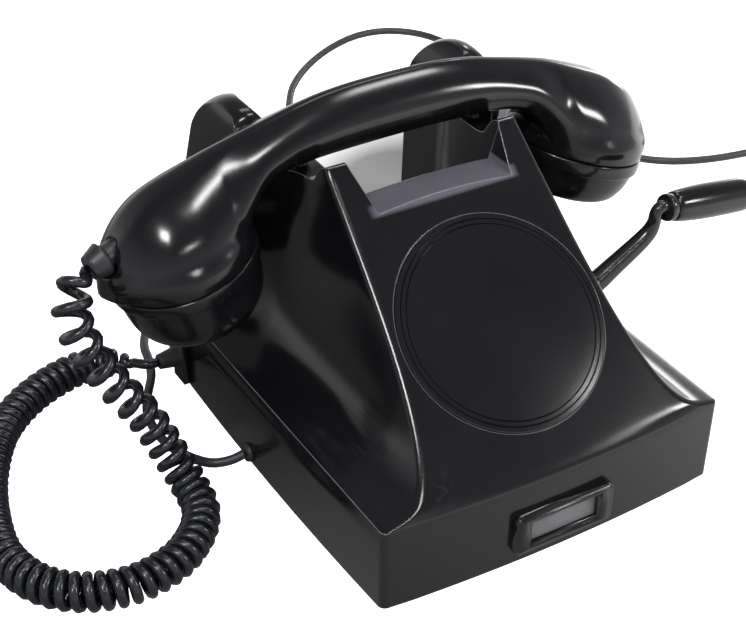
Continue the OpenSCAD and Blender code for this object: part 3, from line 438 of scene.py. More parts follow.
def moulded_black(name, gloss, edge, rubbed=(), highlight_edge=0.0, grey_ridge=False):
    f = Finish(name, IOR=1.42, Coat_Roughness=0.08)
    cloud = f.noise(22, 4)
    fine = f.noise(900, 2)
    hair = f.noise(60, 6, stretch=(1.0, 14.0, 14.0), rough=0.7)
    line = f.node("ShaderNodeValToRGB", stops=[(0.0, 0.0), (0.66, 0.0), (0.72, 1.0)], Fac=hair)
    rough = gloss + cloud * 0.08 + fine * 0.02 + line * 0.08
    colour = f.colour_mix(cloud, (0.003, 0.003, 0.0038), (0.0065, 0.0065, 0.0078))
    # Painted highlight: the sharpest edges, where the rounded normal turns away from the true one, are
    # coloured lighter grey.
    if highlight_edge:
        rounded = f.node("ShaderNodeBevel", settings={"samples": 8}, Radius=highlight_edge)
        flat = f.node("ShaderNodeNewGeometry", "Normal")
        turned_by = f.node("ShaderNodeVectorMath", 1, {"operation": "DOT_PRODUCT"}, Vector=rounded)
        f.tree.links.new(flat.socket, turned_by.socket.node.inputs[1])
        colour = f.colour_mix(f.ramp(turned_by, 0.99, 0.88) * (0.35 + cloud * 0.8), colour, EDGE_HIGHLIGHT_GREY)
    # The ridge between the front posts is painted a lighter grey.
    if grey_ridge:
        x, _, z = f.parts()
        off = f.node("ShaderNodeMath", settings={"operation": "ABSOLUTE"}, Value=x + DATUM.x / 1000)
        ridge = f.ramp(off, *RIDGE_SIDE, 1.0, 0.0) * f.ramp(z, *RIDGE_LOW)
        ridge = ridge * f.ramp(z, *RIDGE_HIGH, 1.0, 0.0)
        colour = f.colour_mix(ridge * (0.35 + cloud), colour, RIDGE_GREY)
    if rubbed:
        speck = f.node("ShaderNodeValToRGB", stops=[(0.0, 0.0), (0.52, 0.0), (0.62, 1.0)],
                       Fac=f.noise(420, 5))
        mask = None
        for spot, radius in rubbed:
            one = f.near(at(*spot), radius * 0.3 / 1000, radius * 1.3 / 1000)
            mask = one if mask is None else mask + one
        worn = speck * mask * 0.05
        colour = f.colour_mix(worn, colour, RUBBED_GREY)
        rough = rough + worn * 0.5
    f.feed(Base_Color=colour, Roughness=rough,
           Normal=f.surface(cloud * 0.8 + fine * 0.01, 0.10, 0.0006, edge))
    return f.material


case_black = moulded_black("case_black", 0.10, 0.0009, [((-52, -100, 40), 6), ((-48, -97, 43), 5)], 0.0006,
                           grey_ridge=True)
cover_black = moulded_black("cover_black", 0.10, 0.0)
handset_black = moulded_black("handset_black", 0.11, 0.0012)
cap_black = moulded_black("cap_black", 0.14, 0.0006)
knob_black = moulded_black("knob_black", 0.13, 0.0005)
print("resins ready")


# %% Painted rod, flexes, rubber
def coloured(name, low, high, scale, rough, bump, metal=0.0, edge=0.0004):
    """A finish whose colour and gloss drift a little."""
    f = Finish(name, Metallic=metal)
    cloud = f.noise(scale, 4)
    fine = f.noise(scale * 18, 2)
    f.feed(Base_Color=f.colour_mix(cloud, low, high), Roughness=rough + cloud * 0.12 + fine * 0.05,
           Normal=f.surface(cloud * 0.6 + fine * 0.4, bump, 0.0004, edge))
    return f.material


rod_black = coloured("rod_black", (0.005, 0.005, 0.006), (0.012, 0.012, 0.014), 30, 0.14, 0.06)
flex_black = coloured("flex_black", (0.004, 0.0045, 0.007), (0.009, 0.010, 0.015), 80, 0.2, 0.12, edge=0.0)
line_black = coloured("line_black", (0.014, 0.015, 0.02), (0.03, 0.032, 0.04), 90, 0.36, 0.3, edge=0.0)
rubber_grey = coloured("rubber_grey", (0.008, 0.0085, 0.010), (0.018, 0.019, 0.022), 120, 0.3, 0.3,
                       edge=0.0008)
rubber_black = coloured("rubber_black", (0.008, 0.008, 0.009), (0.018, 0.018, 0.02), 120, 0.45, 0.5)
steel = coloured("steel", (0.42, 0.43, 0.45), (0.58, 0.59, 0.6), 90, 0.26, 0.3, 1.0)
iron = coloured("iron", (0.10, 0.10, 0.11), (0.17, 0.17, 0.18), 140, 0.5, 0.8, 1.0)
brass = coloured("brass", (0.50, 0.36, 0.13), (0.66, 0.50, 0.22), 90, 0.25, 0.3, 1.0)
winding = coloured("winding", (0.25, 0.09, 0.04), (0.42, 0.18, 0.08), 300, 0.38, 0.9)
board = coloured("board", (0.12, 0.06, 0.025), (0.22, 0.12, 0.05), 160, 0.5, 0.6)
card = coloured("card", (0.015, 0.015, 0.017), (0.035, 0.035, 0.038), 200, 0.7, 0.5)
print("plain finishes ready")

# %% [markdown]
# The camera sees the paper white. In the gloss of the telephone the paper glows dim behind it on the left,
# where a painted shadow of the telephone darkens it, and bright in front, on the right and far off. Through
# the finger gap the camera looks at the floor right behind the case, which is grey in the photograph, so a
# soft shadow is painted there.

# %% Paper of the floor
paper = Finish("studio_paper", Roughness=0.9)
paper.shader.inputs["Specular IOR Level"].default_value = 0.0
across, depth = paper.parts()[:2]
rays = paper.node("ShaderNodeLightPath").socket.node
by_camera, by_gloss = [Wire(paper.tree, rays.outputs[name]) for name in ("Is Camera Ray", "Is Glossy Ray")]
WHITE_PAPER, SHADED_PAPER = (0.82, 0.82, 0.82), (0.14, 0.14, 0.14)
# Spots of the painted shadow, in metres: middle, inner and outer radius, share that is dark.
SHADOW_SPOTS = (((0.035, 0.11, 0.0), 0.02, 0.085, 0.8), ((0.095, 0.175, 0.0), 0.03, 0.085, 0.93),
                ((0.145, 0.195, 0.0), 0.01, 0.06, 0.8), ((0.185, 0.212, 0.0), 0.02, 0.055, 1.0))
# What gloss mirrors of the paper is a glow that grows to the right and far off, darkened behind the
# telephone on the left by a painted shadow.
faraway = paper.ramp(depth, 0.45, 1.2)
in_gloss = (paper.ramp(across, -0.30, 0.35, 0.3, 1.0) * (1 - faraway) + faraway * 0.52) * (
    1 - paper.near((-0.13, 0.22, 0.0), 0.22, 0.5) * 0.95)
light = 1
for middle, inner, outer, dark in SHADOW_SPOTS:
    light = (1 - paper.near(middle, inner, outer) * dark) * light
shadow = 1 - light
# Gloss rays, and the camera inside the painted shadow, see the paper's own colour painted dark.
paper.feed(Base_Color=paper.colour_mix(by_gloss + by_camera * shadow, WHITE_PAPER, SHADED_PAPER))
glow = paper.tree.nodes.new("ShaderNodeEmission")
glow.inputs["Strength"].default_value = 2.0
seen = paper.tree.nodes.new("ShaderNodeMixShader")
share = by_camera * 0.82 * (1 - shadow) + by_gloss * in_gloss
for source, slot in zip((share.socket, paper.shader.outputs[0], glow.outputs[0]), seen.inputs):
    paper.tree.links.new(source, slot)
paper.tree.links.new(seen.outputs[0], paper.tree.nodes["Material Output"].inputs["Surface"])
floor.data.materials.append(paper.material)
print("paper with", len(paper.tree.nodes), "nodes")


# %% [markdown]
# ## The case
# The case is one moulding. Seen from the front its flanks stand almost upright and sweep out in a
# hollow curve into the skirt, and seen from above they widen again towards the rear horns. The section
# functions that shaped the solid are used here with many more sections, so that the gloss runs over it
# without facets, and the notch, the finger space and the seats are cut out of it afterwards.

# %% Section functions of the case
FOOT, FRONT, REAR, SKIRT, POST = 77.0, 105.0, 78.0, 36.0, 126.4
SLOPE = math.tan(math.radians(40.5))
NOTCH, NOTCH_FLOOR, SADDLE, HORN, HORN_TOP, WALL = 34.5, 111.4, 116.0, 60.0, 132.6, 3.2
FACE = -(FRONT + 3.5)
PLATE = SKIRT + 1.65
RIDGE_BACK = -6.5


def soft_min(a, b, k):
    return -k * math.log(math.exp(-a / k) + math.exp(-b / k))


def soft_max(a, b, k):
    return -soft_min(-a, -b, k)


def ease(t):
    t = min(1.0, max(0.0, t))
    return t * t * (3 - 2 * t)


def mix(a, b, t):
    return a + (b - a) * t


def half_width(z):
    t = max(0.0, (z - SKIRT) / (POST - SKIRT))
    return soft_min(FOOT, 43.2 + 5 * (1 - t) + 18 * math.exp(-5.2 * t) + 20 * math.exp(-33 * t), 0.8)


def slope_y(z):
    return FACE + (z - PLATE) / SLOPE


def front_edge(z, limit):
    return min(-5.5, soft_max(-limit, slope_y(z), 0.8))


def rear_y(z):
    return REAR - 3 * max(0.0, (z - SKIRT) / (POST - SKIRT))


def turns_at(z):
    k = ease((z - 85) / 25)
    return 16 - 6 * k, 58 - 24 * k


def full_half(y, z):
    w = half_width(z)
    horn = HORN + 0.19 * (HORN_TOP - 10 - z) - max(0.0, z - HORN_TOP + 5.5) ** 2 / 20
    y1, y2 = turns_at(z)
    return mix(w, max(w, min(FOOT, horn)), ease((y - y1) / (y2 - y1)))


def case_slice(z, o, fine):
    """One level outline; o shrinks it for the hollow, fine multiplies its points."""
    r = max(0.8, 3 - o)
    fe = max(front_edge(z + o, FRONT) + 0.6 * o, -FRONT + o)
    re = rear_y(z) - o
    ya, yb = fe + r, re - r
    y1, y2 = turns_at(z)
    swell = 1 - ease((z - SKIRT + 6) / 8)

    def bow(y):
        return 2.4 * swell * (1 - ((2 * y - fe - re) / (re - fe)) ** 2)

    wf, wr = full_half(ya, z + o) - o, full_half(yb, z + o) - o
    steps = 4 * fine
    right = [(wf - r + r * math.cos(a) + bow(ya + r * math.sin(a)), ya + r * math.sin(a))
             for a in [math.radians(-90 + 90 * i / steps) for i in range(steps + 1)]]
    stations = ([mix(ya, y1, i / (3 * fine)) for i in range(1, 3 * fine)]
                + [mix(y1, y2, i / (5 * fine)) for i in range(5 * fine + 1)]
                + [mix(y2, yb, i / (2 * fine)) for i in range(1, 2 * fine)])
    right += [(full_half(y, z + o) - o + bow(y), y) for y in stations]
    right += [(wr - r + r * math.cos(a) + bow(yb + r * math.sin(a)), yb + r * math.sin(a))
              for a in [math.radians(90 * i / steps) for i in range(steps + 1)]]
    fm = max(front_edge(z + o, FRONT + 3.5) + 0.6 * o, FACE + o)
    back = [1 - 2 * i / steps for i in range(1, steps)]
    front = [-1 + 2 * i / (6 * fine) for i in range(1, 6 * fine)]
    return (right + [(wr * t, re + 2.5 * swell * (1 - t * t)) for t in back]
            + [(-x, y) for x, y in reversed(right)]
            + [(wf * t, fe + (fm - fe) * (1 - t * t)) for t in front])


print("half width at skirt, waist and post:", [round(half_width(z), 1) for z in (20, 60, 126)])


# %% Skins, prisms and cuts
def edit_all(thing, *steps):
    """Runs the steps in edit mode, each with the whole mesh selected."""
    pick(thing)
    bpy.ops.object.mode_set(mode="EDIT")
    for step in steps:
        bpy.ops.mesh.select_all(action="SELECT")
        step()
    bpy.ops.object.mode_set(mode="OBJECT")


def shaped(name, points, edges, faces, *steps):
    """A mesh object from points of the drawings, edited by the steps, with its faces turned outwards."""
    mesh = bpy.data.meshes.new(name)
    mesh.from_pydata([at(*p) for p in points], edges, faces)
    mesh.update()
    thing = bpy.data.objects.new(name, mesh)
    bpy.context.scene.collection.objects.link(thing)
    edit_all(thing, *steps, lambda: bpy.ops.mesh.normals_make_consistent(inside=False))
    return thing


def skin(name, rings):
    """A closed skin over rings that all have the same count of points."""
    n = len(rings[0])
    faces = [[j * n + i, j * n + (i + 1) % n, (j + 1) * n + (i + 1) % n, (j + 1) * n + i]
             for j in range(len(rings) - 1) for i in range(n)]
    faces += [list(range(n))[::-1], [(len(rings) - 1) * n + i for i in range(n)]]
    return shaped(name, [p for ring in rings for p in ring], [], faces)


def prism(name, outline, low, high, make):
    """An outline pushed from low to high; make places a point of it in space."""
    return skin(name, [[make(a, b, s) for a, b in outline] for s in (low, high)])


def cut(thing, *tools, operation="DIFFERENCE"):
    """Cuts the tools out of a thing and removes them."""
    for tool in tools:
        pick(thing)
        edit = thing.modifiers.new("cut", "BOOLEAN")
        edit.operation = operation
        edit.solver = "EXACT"
        edit.object = tool
        bpy.ops.object.modifier_apply(modifier=edit.name)
        bpy.data.objects.remove(tool)


def rounded_line(points, fine):
    """A smooth line through the corners of an outline."""
    return [tuple(through(points, t / fine)) for t in range(fine * (len(points) - 1) + 1)]


# %% Cutters of the case
def horn_dome(x):
    """How far the top of a horn drops beside its middle."""
    return 3 * (min(11.0, abs(abs(x) - (HORN - 8))) / 8) ** 2


def top_cutter(name, drop, fine):
    """All that is above the saddle, the posts and the domed horns."""
    profile = [(-5.4, POST), (-2.5, POST - 1.2), (0.5, POST - 4.6), (3.5, SADDLE + 1.5), (8.5, SADDLE)]
    rise = [(33 + drop, SADDLE), (35 + drop, SADDLE + 5), (37.5 + drop, HORN_TOP - 4.4),
            (41 + drop, HORN_TOP - 1.2), (47, HORN_TOP), (54, HORN_TOP - 0.2), (61, HORN_TOP - 2.2),
            (67, HORN_TOP - 5.8), (71.5 - drop, HORN_TOP - 11), (74.5 - drop, HORN_TOP - 18),
            (75.6 - drop, HORN_TOP - 27)]
    line = [(-20, POST)] + rounded_line(profile, fine) + rounded_line(rise, fine) + [(100, HORN_TOP - 30)]
    steps = [HORN - 19 + 22 * k / (8 * fine) for k in range(8 * fine + 1)] + [100]
    rings = []
    for x in [-x for x in reversed(steps)] + steps:
        low = [(x, y, z - drop - horn_dome(x) * min(1, max(0, (y - drop - 33) / 2))) for y, z in line]
        rings.append([(x, -60, 200)] + low + [(x, 100, 200)])
    return skin(name, rings)


def gap_cutter(name, grow, fine):
    """The open space under and behind the handle, and the curved inner faces of the horns."""
    floor_line = [(-2.5 - grow, NOTCH_FLOOR - 7 - grow), (18, 82 - grow * 1.4), (44, 60 - grow * 1.4),
                  (58, 48.5 - grow * 1.2), (74, 40.5 - grow)]
    side = ([(RIDGE_BACK - grow, NOTCH_FLOOR + 60), (RIDGE_BACK - grow, NOTCH_FLOOR - grow)]
            + rounded_line(floor_line, fine) + [(110, 38 - grow), (110, NOTCH_FLOOR + 60)])
    deep = prism(name, side, -47 - grow, 47 + grow, lambda y, z, x: (x, y, z))
    g, h = 34 + grow, 43 + grow
    plan = [(-g, RIDGE_BACK - grow - 1), (g, RIDGE_BACK - grow - 1), (g, 28 - grow), (h, 50 - grow),
            (h, 120), (-h, 120), (-h, 50 - grow), (-g, 28 - grow)]
    wide = prism(name + "_plan", plan, 20, 180, lambda x, y, z: (x, y, z))
    cut(deep, wide, operation="INTERSECT")
    arc = rounded_line([(0, 0), (1, 4), (3, 9), (6, 13), (9.5, 16), (14, 18.5)], fine) + [(14, 42)]
    flare = ([(-h - x, 118 - grow + z) for x, z in reversed(arc)]
             + [(h + x, 118 - grow + z) for x, z in arc])
    lean = prism(name + "_flare", flare, 34 - grow, 110, lambda x, z, y: (x, y, z))
    return deep, lean


def notch_cutter(name, grow):
    low, foot, top = NOTCH_FLOOR - grow, NOTCH - 4.5 + grow, NOTCH + grow
    arch = [(foot * t, low + 1.15 * (1 - t * t)) for t in [-1 + k / 6 for k in range(13)]]
    return prism(name, arch + [(top, POST + grow), (top, 180), (-top, 180), (-top, POST + grow)], -70, 30,
                 lambda x, z, y: (x, y, z))


# %% Outer skin and hollow
levels = ([0.8, 6, 12, 18, 24, 27, 28] + [28 + k * 0.75 for k in range(1, 17)]
          + [40 + k * 0.5 for k in range(1, 13)] + [46 + k for k in range(1, 15)]
          + [60 + 2.2 * k for k in range(1, 37)])
levels = [z for z in levels if z < HORN_TOP] + [HORN_TOP, HORN_TOP + 2]
case_body = skin("case_body", [[(x, y, z) for x, y in case_slice(z, 0, 2)] for z in levels])
hollow_levels = ([-2, 24] + [SKIRT + k for k in (-6, -3, 0, 3, 8, 14, 24)]
                 + [66 + 3 * k for k in range(21)] + [HORN_TOP - WALL - 2])
hollow = skin("case_hollow", [[(x, y, z) for x, y in case_slice(z, WALL, 2)] for z in hollow_levels])
cut(hollow, top_cutter("hollow_top", WALL, 1), *gap_cutter("hollow_gap", WALL, 1),
    notch_cutter("hollow_notch", WALL))
cut(case_body, top_cutter("case_top", 0, 4), *gap_cutter("case_gap", 0, 4), notch_cutter("case_notch", 0))
cut(case_body, hollow)
print("case after its main cuts:", len(case_body.data.polygons), "faces")


# %% Seats and holes
COVER_Y = -62.6
COVER = (0, COVER_Y, PLATE + (COVER_Y - FACE) * SLOPE)
CRANK_Y, CRANK_Z = -42.0, 61.5
AXIS = Vector((0, CRANK_Y, CRANK_Z))
TILT = math.radians(40.5)
COVER_SEAT, COVER_HOLE, BUSH_FACE, BUSH_HOLE = 43.6, 38, 10.7, 6.55
PLUNGER_HOLE, BOOT_HOLE, GLAND_HOLE = 2.4, 4.1, 3.3
PLUNGER_X, HAND_Y = 40.2, 19.4


def rod(name, centre, axis, radius, low, high, sides=64):
    """A round bar along an axis, from low to high."""
    axis = Vector(axis).normalized()
    drop_selection()
    bpy.ops.mesh.primitive_cylinder_add(vertices=sides, radius=radius / 1000, depth=(high - low) / 1000,
                                        location=at(*centre) + axis * (low + high) / 2000,
                                        rotation=axis.to_track_quat("Z", "Y").to_euler())
    thing = bpy.context.object
    thing.name = name
    bake_place(thing)
    return thing


plate_up = (0, -math.sin(TILT), math.cos(TILT))
cut(case_body, rod("cover_seat", COVER, plate_up, COVER_SEAT, -0.8, 12, 128),
    rod("cover_hole", COVER, plate_up, COVER_HOLE, -14, 6, 96))
cut(case_body, rod("bush_face", AXIS, (1, 0, 0), BUSH_FACE, 52, 72),
    rod("bush_hole", AXIS, (1, 0, 0), BUSH_HOLE, 40, 60))
print("seats of cover and bush cut")

# %% Pocket of the label holder, and the holes
# Its size is in metres, and it reaches 1.1 mm into the skirt.
POCKET_SIZE = (0.0452, 0.012, 0.0182)
POCKET_DEEP, POCKET_HEIGHT = 1.1, 15
drop_selection()
bpy.ops.mesh.primitive_cube_add(size=1)
pocket = bpy.context.object
pocket.scale = POCKET_SIZE
pocket.location = at(0, FACE + POCKET_DEEP - 6, POCKET_HEIGHT)
bake_place(pocket)
corner = pocket.modifiers.new("corner", "BEVEL")
corner.width, corner.segments = 0.0025, 5
corner.affect = "EDGES"
bpy.ops.object.modifier_apply(modifier=corner.name)
cut(case_body, pocket)
for side in (-1, 1):
    plunger_seat = (side * PLUNGER_X, HAND_Y, 0)
    cut(case_body, rod("plunger_hole", plunger_seat, (0, 0, 1), PLUNGER_HOLE, 104, 124, 32))
cut(case_body, rod("boot_hole", (0, 58, 14), (-1, 0, 0), BOOT_HOLE, 66, 90, 32),
    rod("gland_hole", (0, -5, 5), (-1, 0, 0), GLAND_HOLE, 66, 90, 32))


def dress(thing, material, node, body, angle=34):
    """Smooth shading up to an edge angle, a finish, and the solid that a piece stands for."""
    pick(thing)
    bpy.ops.object.shade_smooth_by_angle(angle=math.radians(angle))
    thing.data.materials.clear()
    thing.data.materials.append(material)
    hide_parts(node)
    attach(thing, body)


dress(case_body, case_black, "case_shell", "base", 32)
print("finished case:", len(case_body.data.polygons), "faces")

# %% [markdown]
# ## The handset
# The handset is a second moulding: a slim handle with a flat-topped arch, drawn out at both ends into
# round bells that carry the screwed caps. Its sections are crowned low down and run up to a narrow flat
# ridge with a crisp edge, which is what catches the long thin highlight.

# %% Smooth tables
def curve(table, x):
    """A smooth value between the entries of a table, without overshoot."""
    xs, ys = zip(*table)
    if x <= xs[0]:
        return ys[0]
    if x >= xs[-1]:
        return ys[-1]
    steps = [(ys[i + 1] - ys[i]) / (xs[i + 1] - xs[i]) for i in range(len(xs) - 1)]
    inner = [0 if a * b <= 0 else 2 * a * b / (a + b) for a, b in zip(steps, steps[1:])]
    slopes = [0.0] + inner + [steps[-1]]
    i = max(k for k in range(len(xs) - 1) if xs[k] <= x)
    h = xs[i + 1] - xs[i]
    t = (x - xs[i]) / h
    return ((1 + 2 * t) * (1 - t) ** 2 * ys[i] + t * (1 - t) ** 2 * h * slopes[i]
            + t * t * (3 - 2 * t) * ys[i + 1] + t * t * (t - 1) * h * slopes[i + 1])


# %% Tables of the handset
# Each table goes by the distance from the middle of the handle. In turn: how far the top lies under its
# middle, what the half depth gains, the height of the underside, and the half width of the flat ridge.
HANDLE_TOP, HANDLE_HALF, BELL_START = 145, 12.5, 78
CROWN = [(0, 0), (14, -0.2), (28, -1.2), (40, -3.2), (50, -5.6), (58, -7.6), (65, -9.4), (74, -12),
         (84, -15.8), (94, -20), (102, -23.6), (109, -28), (115, -33.2), (120, -39.6), (124, -47),
         (126, -53), (127, -58)]
HALF = [(0, 0), (40, 0.1), (58, 1.6), (70, 5.5), (82, 11.5), (93, 14.4), (104, 13.4), (113, 9), (120, 3),
        (124, -2.5), (126, -7.5), (127, -10.8)]
UNDER = [(0, 121.5), (30, 121), (48, 119.8), (58, 117.2), (65, 112), (70, 105.5), (74, 99.5),
         (BELL_START, 94.5)]
RIDGE = [(0, 2.2), (58, 2.4), (70, 2.9), (84, 4.6), (98, 6.2), (110, 7.2), (120, 6.4), (124, 4), (127, 0.6)]
CAP_X, JOINT, LEAN = 93.3, 91.4, math.radians(16)
HALF_LENGTH, HALF_STATIONS = 127, 80
print("handset of", 2 * HALF_LENGTH, "mm")


# %% Body of the handset
def shell_ring(x, fine):
    """One cross-section of the handset."""
    d = abs(x)
    top = HANDLE_TOP + curve(CROWN, d)
    bell_rim = min(JOINT + (CAP_X - d) * math.tan(LEAN) + 1.5, top - 1)
    low = curve(UNDER, d) if d < BELL_START else bell_rim
    a = max(0.8, HANDLE_HALF + curve(HALF, d))
    f = min(a * 0.7, curve(RIDGE, d))
    flat = a * mix(0.45, 0.96, ease((d - 60) / 25))
    widest = low + (top - low) * mix(0.42, 0.16, ease((d - 60) / 30))
    bend = widest + (top - widest) * 0.52
    right = [(flat + (a - flat) * math.sin(t), widest - (widest - low) * math.cos(t))
             for t in [math.pi / 2 * k / (4 * fine) for k in range(4 * fine + 1)]]
    right += [(a * (1 - t * t) + f * t * t,
               widest * (1 - t) ** 2 + bend * 2 * t * (1 - t) + (top - 0.5) * t * t)
              for t in [k / (5 * fine) for k in range(1, 5 * fine + 1)]]
    right += [(f * 0.6, top - 0.08), (f * 0.3, top)]
    return [(x, HAND_Y + p, z) for p, z in right] + [(x, HAND_Y - p, z) for p, z in reversed(right)]


R = 30.6
# The bell's outline as radius and height, and the line that the handle is drawn out to, by height.
BELL = [(R - 0.9, 0), (R - 0.4, 0.6), (R - 0.4, 3), (R - 0.7, 5), (R - 1.6, 7), (R - 3, 8.7), (R - 5, 10),
        (R - 8, 11.3), (R - 12, 12.4)]
BELL_TABLE = ([(0, R - 0.35), (3, R - 0.35)] + [(height, radius) for radius, height in BELL[3:]]
              + [(14, R - 19)])


def cap_axis(side):
    return Vector((side * math.sin(LEAN), 0, math.cos(LEAN)))


def cap_centre(side):
    return Vector((side * CAP_X, HAND_Y, JOINT))


def drawn_out(point):
    """Draws a point of the handle out to the round bell, in one soft curve."""
    side = 1 if point[0] > 0 else -1
    axis, away = cap_axis(side), Vector(point) - cap_centre(side)
    height = away.dot(axis)
    across = away - axis * height
    if not -3 < height < 14 or abs(point[0]) < 60 or across.length < 1:
        return point
    blend = 0.3 + 1.3 * ease((height - 2) / 5)
    wide = soft_max(across.length, curve(BELL_TABLE, height), blend)
    return tuple(cap_centre(side) + axis * height + across.normalized() * wide)


stations = [HALF_LENGTH * math.sin(math.pi / 2 * k / HALF_STATIONS)
            for k in range(-HALF_STATIONS, HALF_STATIONS + 1)]
handset_body = skin("handset_body", [[drawn_out(p) for p in shell_ring(x, 3)] for x in stations])
print("handset before its cuts:", len(handset_body.data.polygons), "faces")


# %% Round forms, and the openings of the handset
def turned(name, profile, centre, axis, steps=128, closed=False):
    """A round form about an axis, spun from its profile of radius and height."""
    axis = Vector(axis).normalized()
    across = axis.orthogonal().normalized()
    points = [Vector(centre) + across * r + axis * h for r, h in profile]
    edges = [(i, i + 1) for i in range(len(profile) - 1)] + ([(len(profile) - 1, 0)] if closed else [])

    def spin():
        bpy.ops.mesh.spin(steps=steps, angle=2 * math.pi, center=at(*centre), axis=axis)

    return shaped(name, points, edges, [], spin, lambda: bpy.ops.mesh.remove_doubles(threshold=0.00001))


CAPSULE_ROOM = 24.2
for side in (-1, 1):
    room = turned("capsule_room", [(0, -3), (CAPSULE_ROOM, -3), (CAPSULE_ROOM, 10), (0, 10)],
                  cap_centre(side), cap_axis(side), 64)
    cut(handset_body, room)
NECK_FOOT, NECK_TIP = Vector((-118, 19.2, 101.4)), Vector((-131, 16.6, 98.2))
cut(handset_body, rod("grommet_hole", NECK_FOOT, NECK_TIP - NECK_FOOT, 5.4, 0, 20, 32))
cut(handset_body, rod("grommet_seat", NECK_FOOT, NECK_TIP - NECK_FOOT, 7.3, 5.7, 20, 48))
dress(handset_body, handset_black, "handset_shell", "handset", 38)
print("handset:", len(handset_body.data.polygons), "faces")

# %% Bells of the handset
bell_profile = ([(CAPSULE_ROOM, 0), (CAPSULE_ROOM, -5), (26.6, -5), (26.6, 0)] + rounded_line(BELL, 4)
                + [(16, 12.4), (16, 10), (CAPSULE_ROOM, 10)])
for side, name in ((-1, "bell_left"), (1, "bell_right")):
    bell = turned(name, bell_profile, cap_centre(side), cap_axis(side), 160, closed=True)
    dress(bell, handset_black, "handset_shell", "handset")
print("bells turned")


# %% [markdown]
# ## Turned pieces
# The screwed caps, the blank cover and the knob come off a lathe, or out of a mould that did. Each is a
# profile that is spun, with far more steps than its solid has, because gloss shows every facet.

# %% Screwed caps
def cap_profile(barrel, face, face_radius):
    """Outline of a cap: its lip, its barrel down to the given height, its face, and its hollow."""
    lip = [(26.8, -0.3), (R - 0.4, -0.3), (R - 0.1, -0.55), (R, -1), (R, -5.2), (R - 0.15, -5.7),
           (R - 0.6, -6.1)]
    barrel_line = [(R - 1.5, -6.6), (R - 2.2, mix(-6.6, barrel, 0.5)), (R - 3.4, barrel),
                   (mix(face_radius, R - 3.4, 0.55), face + 1.9), (face_radius, face + 0.2),
                   (face_radius - 4, face)]
    inside = [(0, face + 1.6), (0, face + 4.2), (face_radius - 3, face + 2.6),
              (mix(face_radius, R - 6, 0.6), barrel + 0.4), (R - 5, mix(-6.6, barrel, 0.4)), (26.8, -6)]
    return lip + rounded_line(barrel_line, 5) + inside


RING_STEP, HOLE_RADIUS = 5.2, 1.3


def drill(cap, side, face, rows):
    """The sound holes of a cap, in rings round its middle."""
    axis, centre = cap_axis(side), cap_centre(side)
    across, along = Vector((axis.z, 0, -axis.x)), Vector((0, 1, 0))
    places = [(0.0, 0.0)] + [(RING_STEP * row, math.radians(60 / row * i)) for row in range(1, rows + 1)
                             for i in range(6 * row)]
    drills = [rod("drill", centre + across * (r * math.cos(a)) + along * (r * math.sin(a)), axis,
                  HOLE_RADIUS, face - 3, face + 6, 20) for r, a in places]
    drop_selection()
    for one in drills:
        one.select_set(True)
    bpy.context.view_layer.objects.active = drills[0]
    bpy.ops.object.join()
    cut(cap, drills[0])


# Each cap: its node, its side, the heights of its barrel and face with the radius there, rings of holes.
CAPS = (("mouthpiece_cap", -1, (-21, -27.8, 21.5), 2), ("earpiece_cap", 1, (-14, -20.6, 21), 1))
for node, side, numbers, rows in CAPS:
    cap = turned(node + "_turned", cap_profile(*numbers), cap_centre(side), cap_axis(side), 160, closed=True)
    drill(cap, side, numbers[1], rows)
    dress(cap, cap_black, node, "handset")
    print(node, "with", len(cap.data.polygons), "faces")

# %% Round cover
# From the middle of its back round the collar and over two fine grooves to the crowned middle.
cover_profile = [(0, -2.2), (35.3, -2.2), (35.3, -4.93), (37.7, -4.93), (37.7, -0.8), (43.3, -0.8),
                 (43.3, 0.4), (42.9, 0.8), (41.4, 0.9), (41.1, 0.5), (40.8, 0.9), (39.3, 1), (39, 0.6),
                 (38.7, 1), (33.3, 1.3), (16, 1.5), (0, 1.6)]
cover = turned("blank_cover", cover_profile, COVER, plate_up, 192)
dress(cover, cover_black, "round_cover", "base", 20)
print("cover:", len(cover.data.polygons), "faces")

# %% [markdown]
# The crank rod is a bent bar that is drawn thinner towards the knob. It lies in one plane with the
# shaft, so each of its sections needs only the direction of the bar in that plane.

# %% Crank rod and knob
CRANK_LEAN, KNOB_LEAN = math.radians(7.2), math.radians(8.5)
ROD_RADIUS = 4.5
OUTWARD = Vector((0, -math.sin(CRANK_LEAN), math.cos(CRANK_LEAN)))
SQUARE = Vector((0, math.cos(CRANK_LEAN), math.sin(CRANK_LEAN)))
KNOB_FOOT = AXIS + Vector((94, 0, 0)) + OUTWARD * 29
KNOB_AXIS = Vector((math.cos(KNOB_LEAN), 0, 0)) - OUTWARD * math.sin(KNOB_LEAN)
# Middle line of the rod: along the shaft, away from it, and the share of the full radius there.
rod_shape = [(56, 0, 1), (60, 0.3, 1), (63.2, 1.8, 0.98), (69.4, 6.5, 0.91), (76.4, 11.6, 0.86),
             (82.2, 16.2, 0.8), (85.4, 19.9, 0.72), (86.5, 24, 0.62), (86.3, 27.4, 0.58), (87, 29.6, 0.58),
             (88.9, 30.6, 0.6), (91.2, 30, 0.64), (92.8, 29.4, 0.66)]


def rod_ring(t):
    x, out, thick = through(rod_shape, t)
    a, b = through(rod_shape, max(0, t - 0.05)), through(rod_shape, min(len(rod_shape) - 1, t + 0.05))
    ahead = Vector((b[0] - a[0], b[1] - a[1])).normalized()
    across = Vector((-ahead.y, 0, 0)) + OUTWARD * ahead.x
    middle = AXIS + Vector((x, 0, 0)) + OUTWARD * out
    return [tuple(middle + ROD_RADIUS * thick * (math.cos(w) * SQUARE + math.sin(w) * across))
            for w in [math.tau * k / 32 for k in range(32)]]


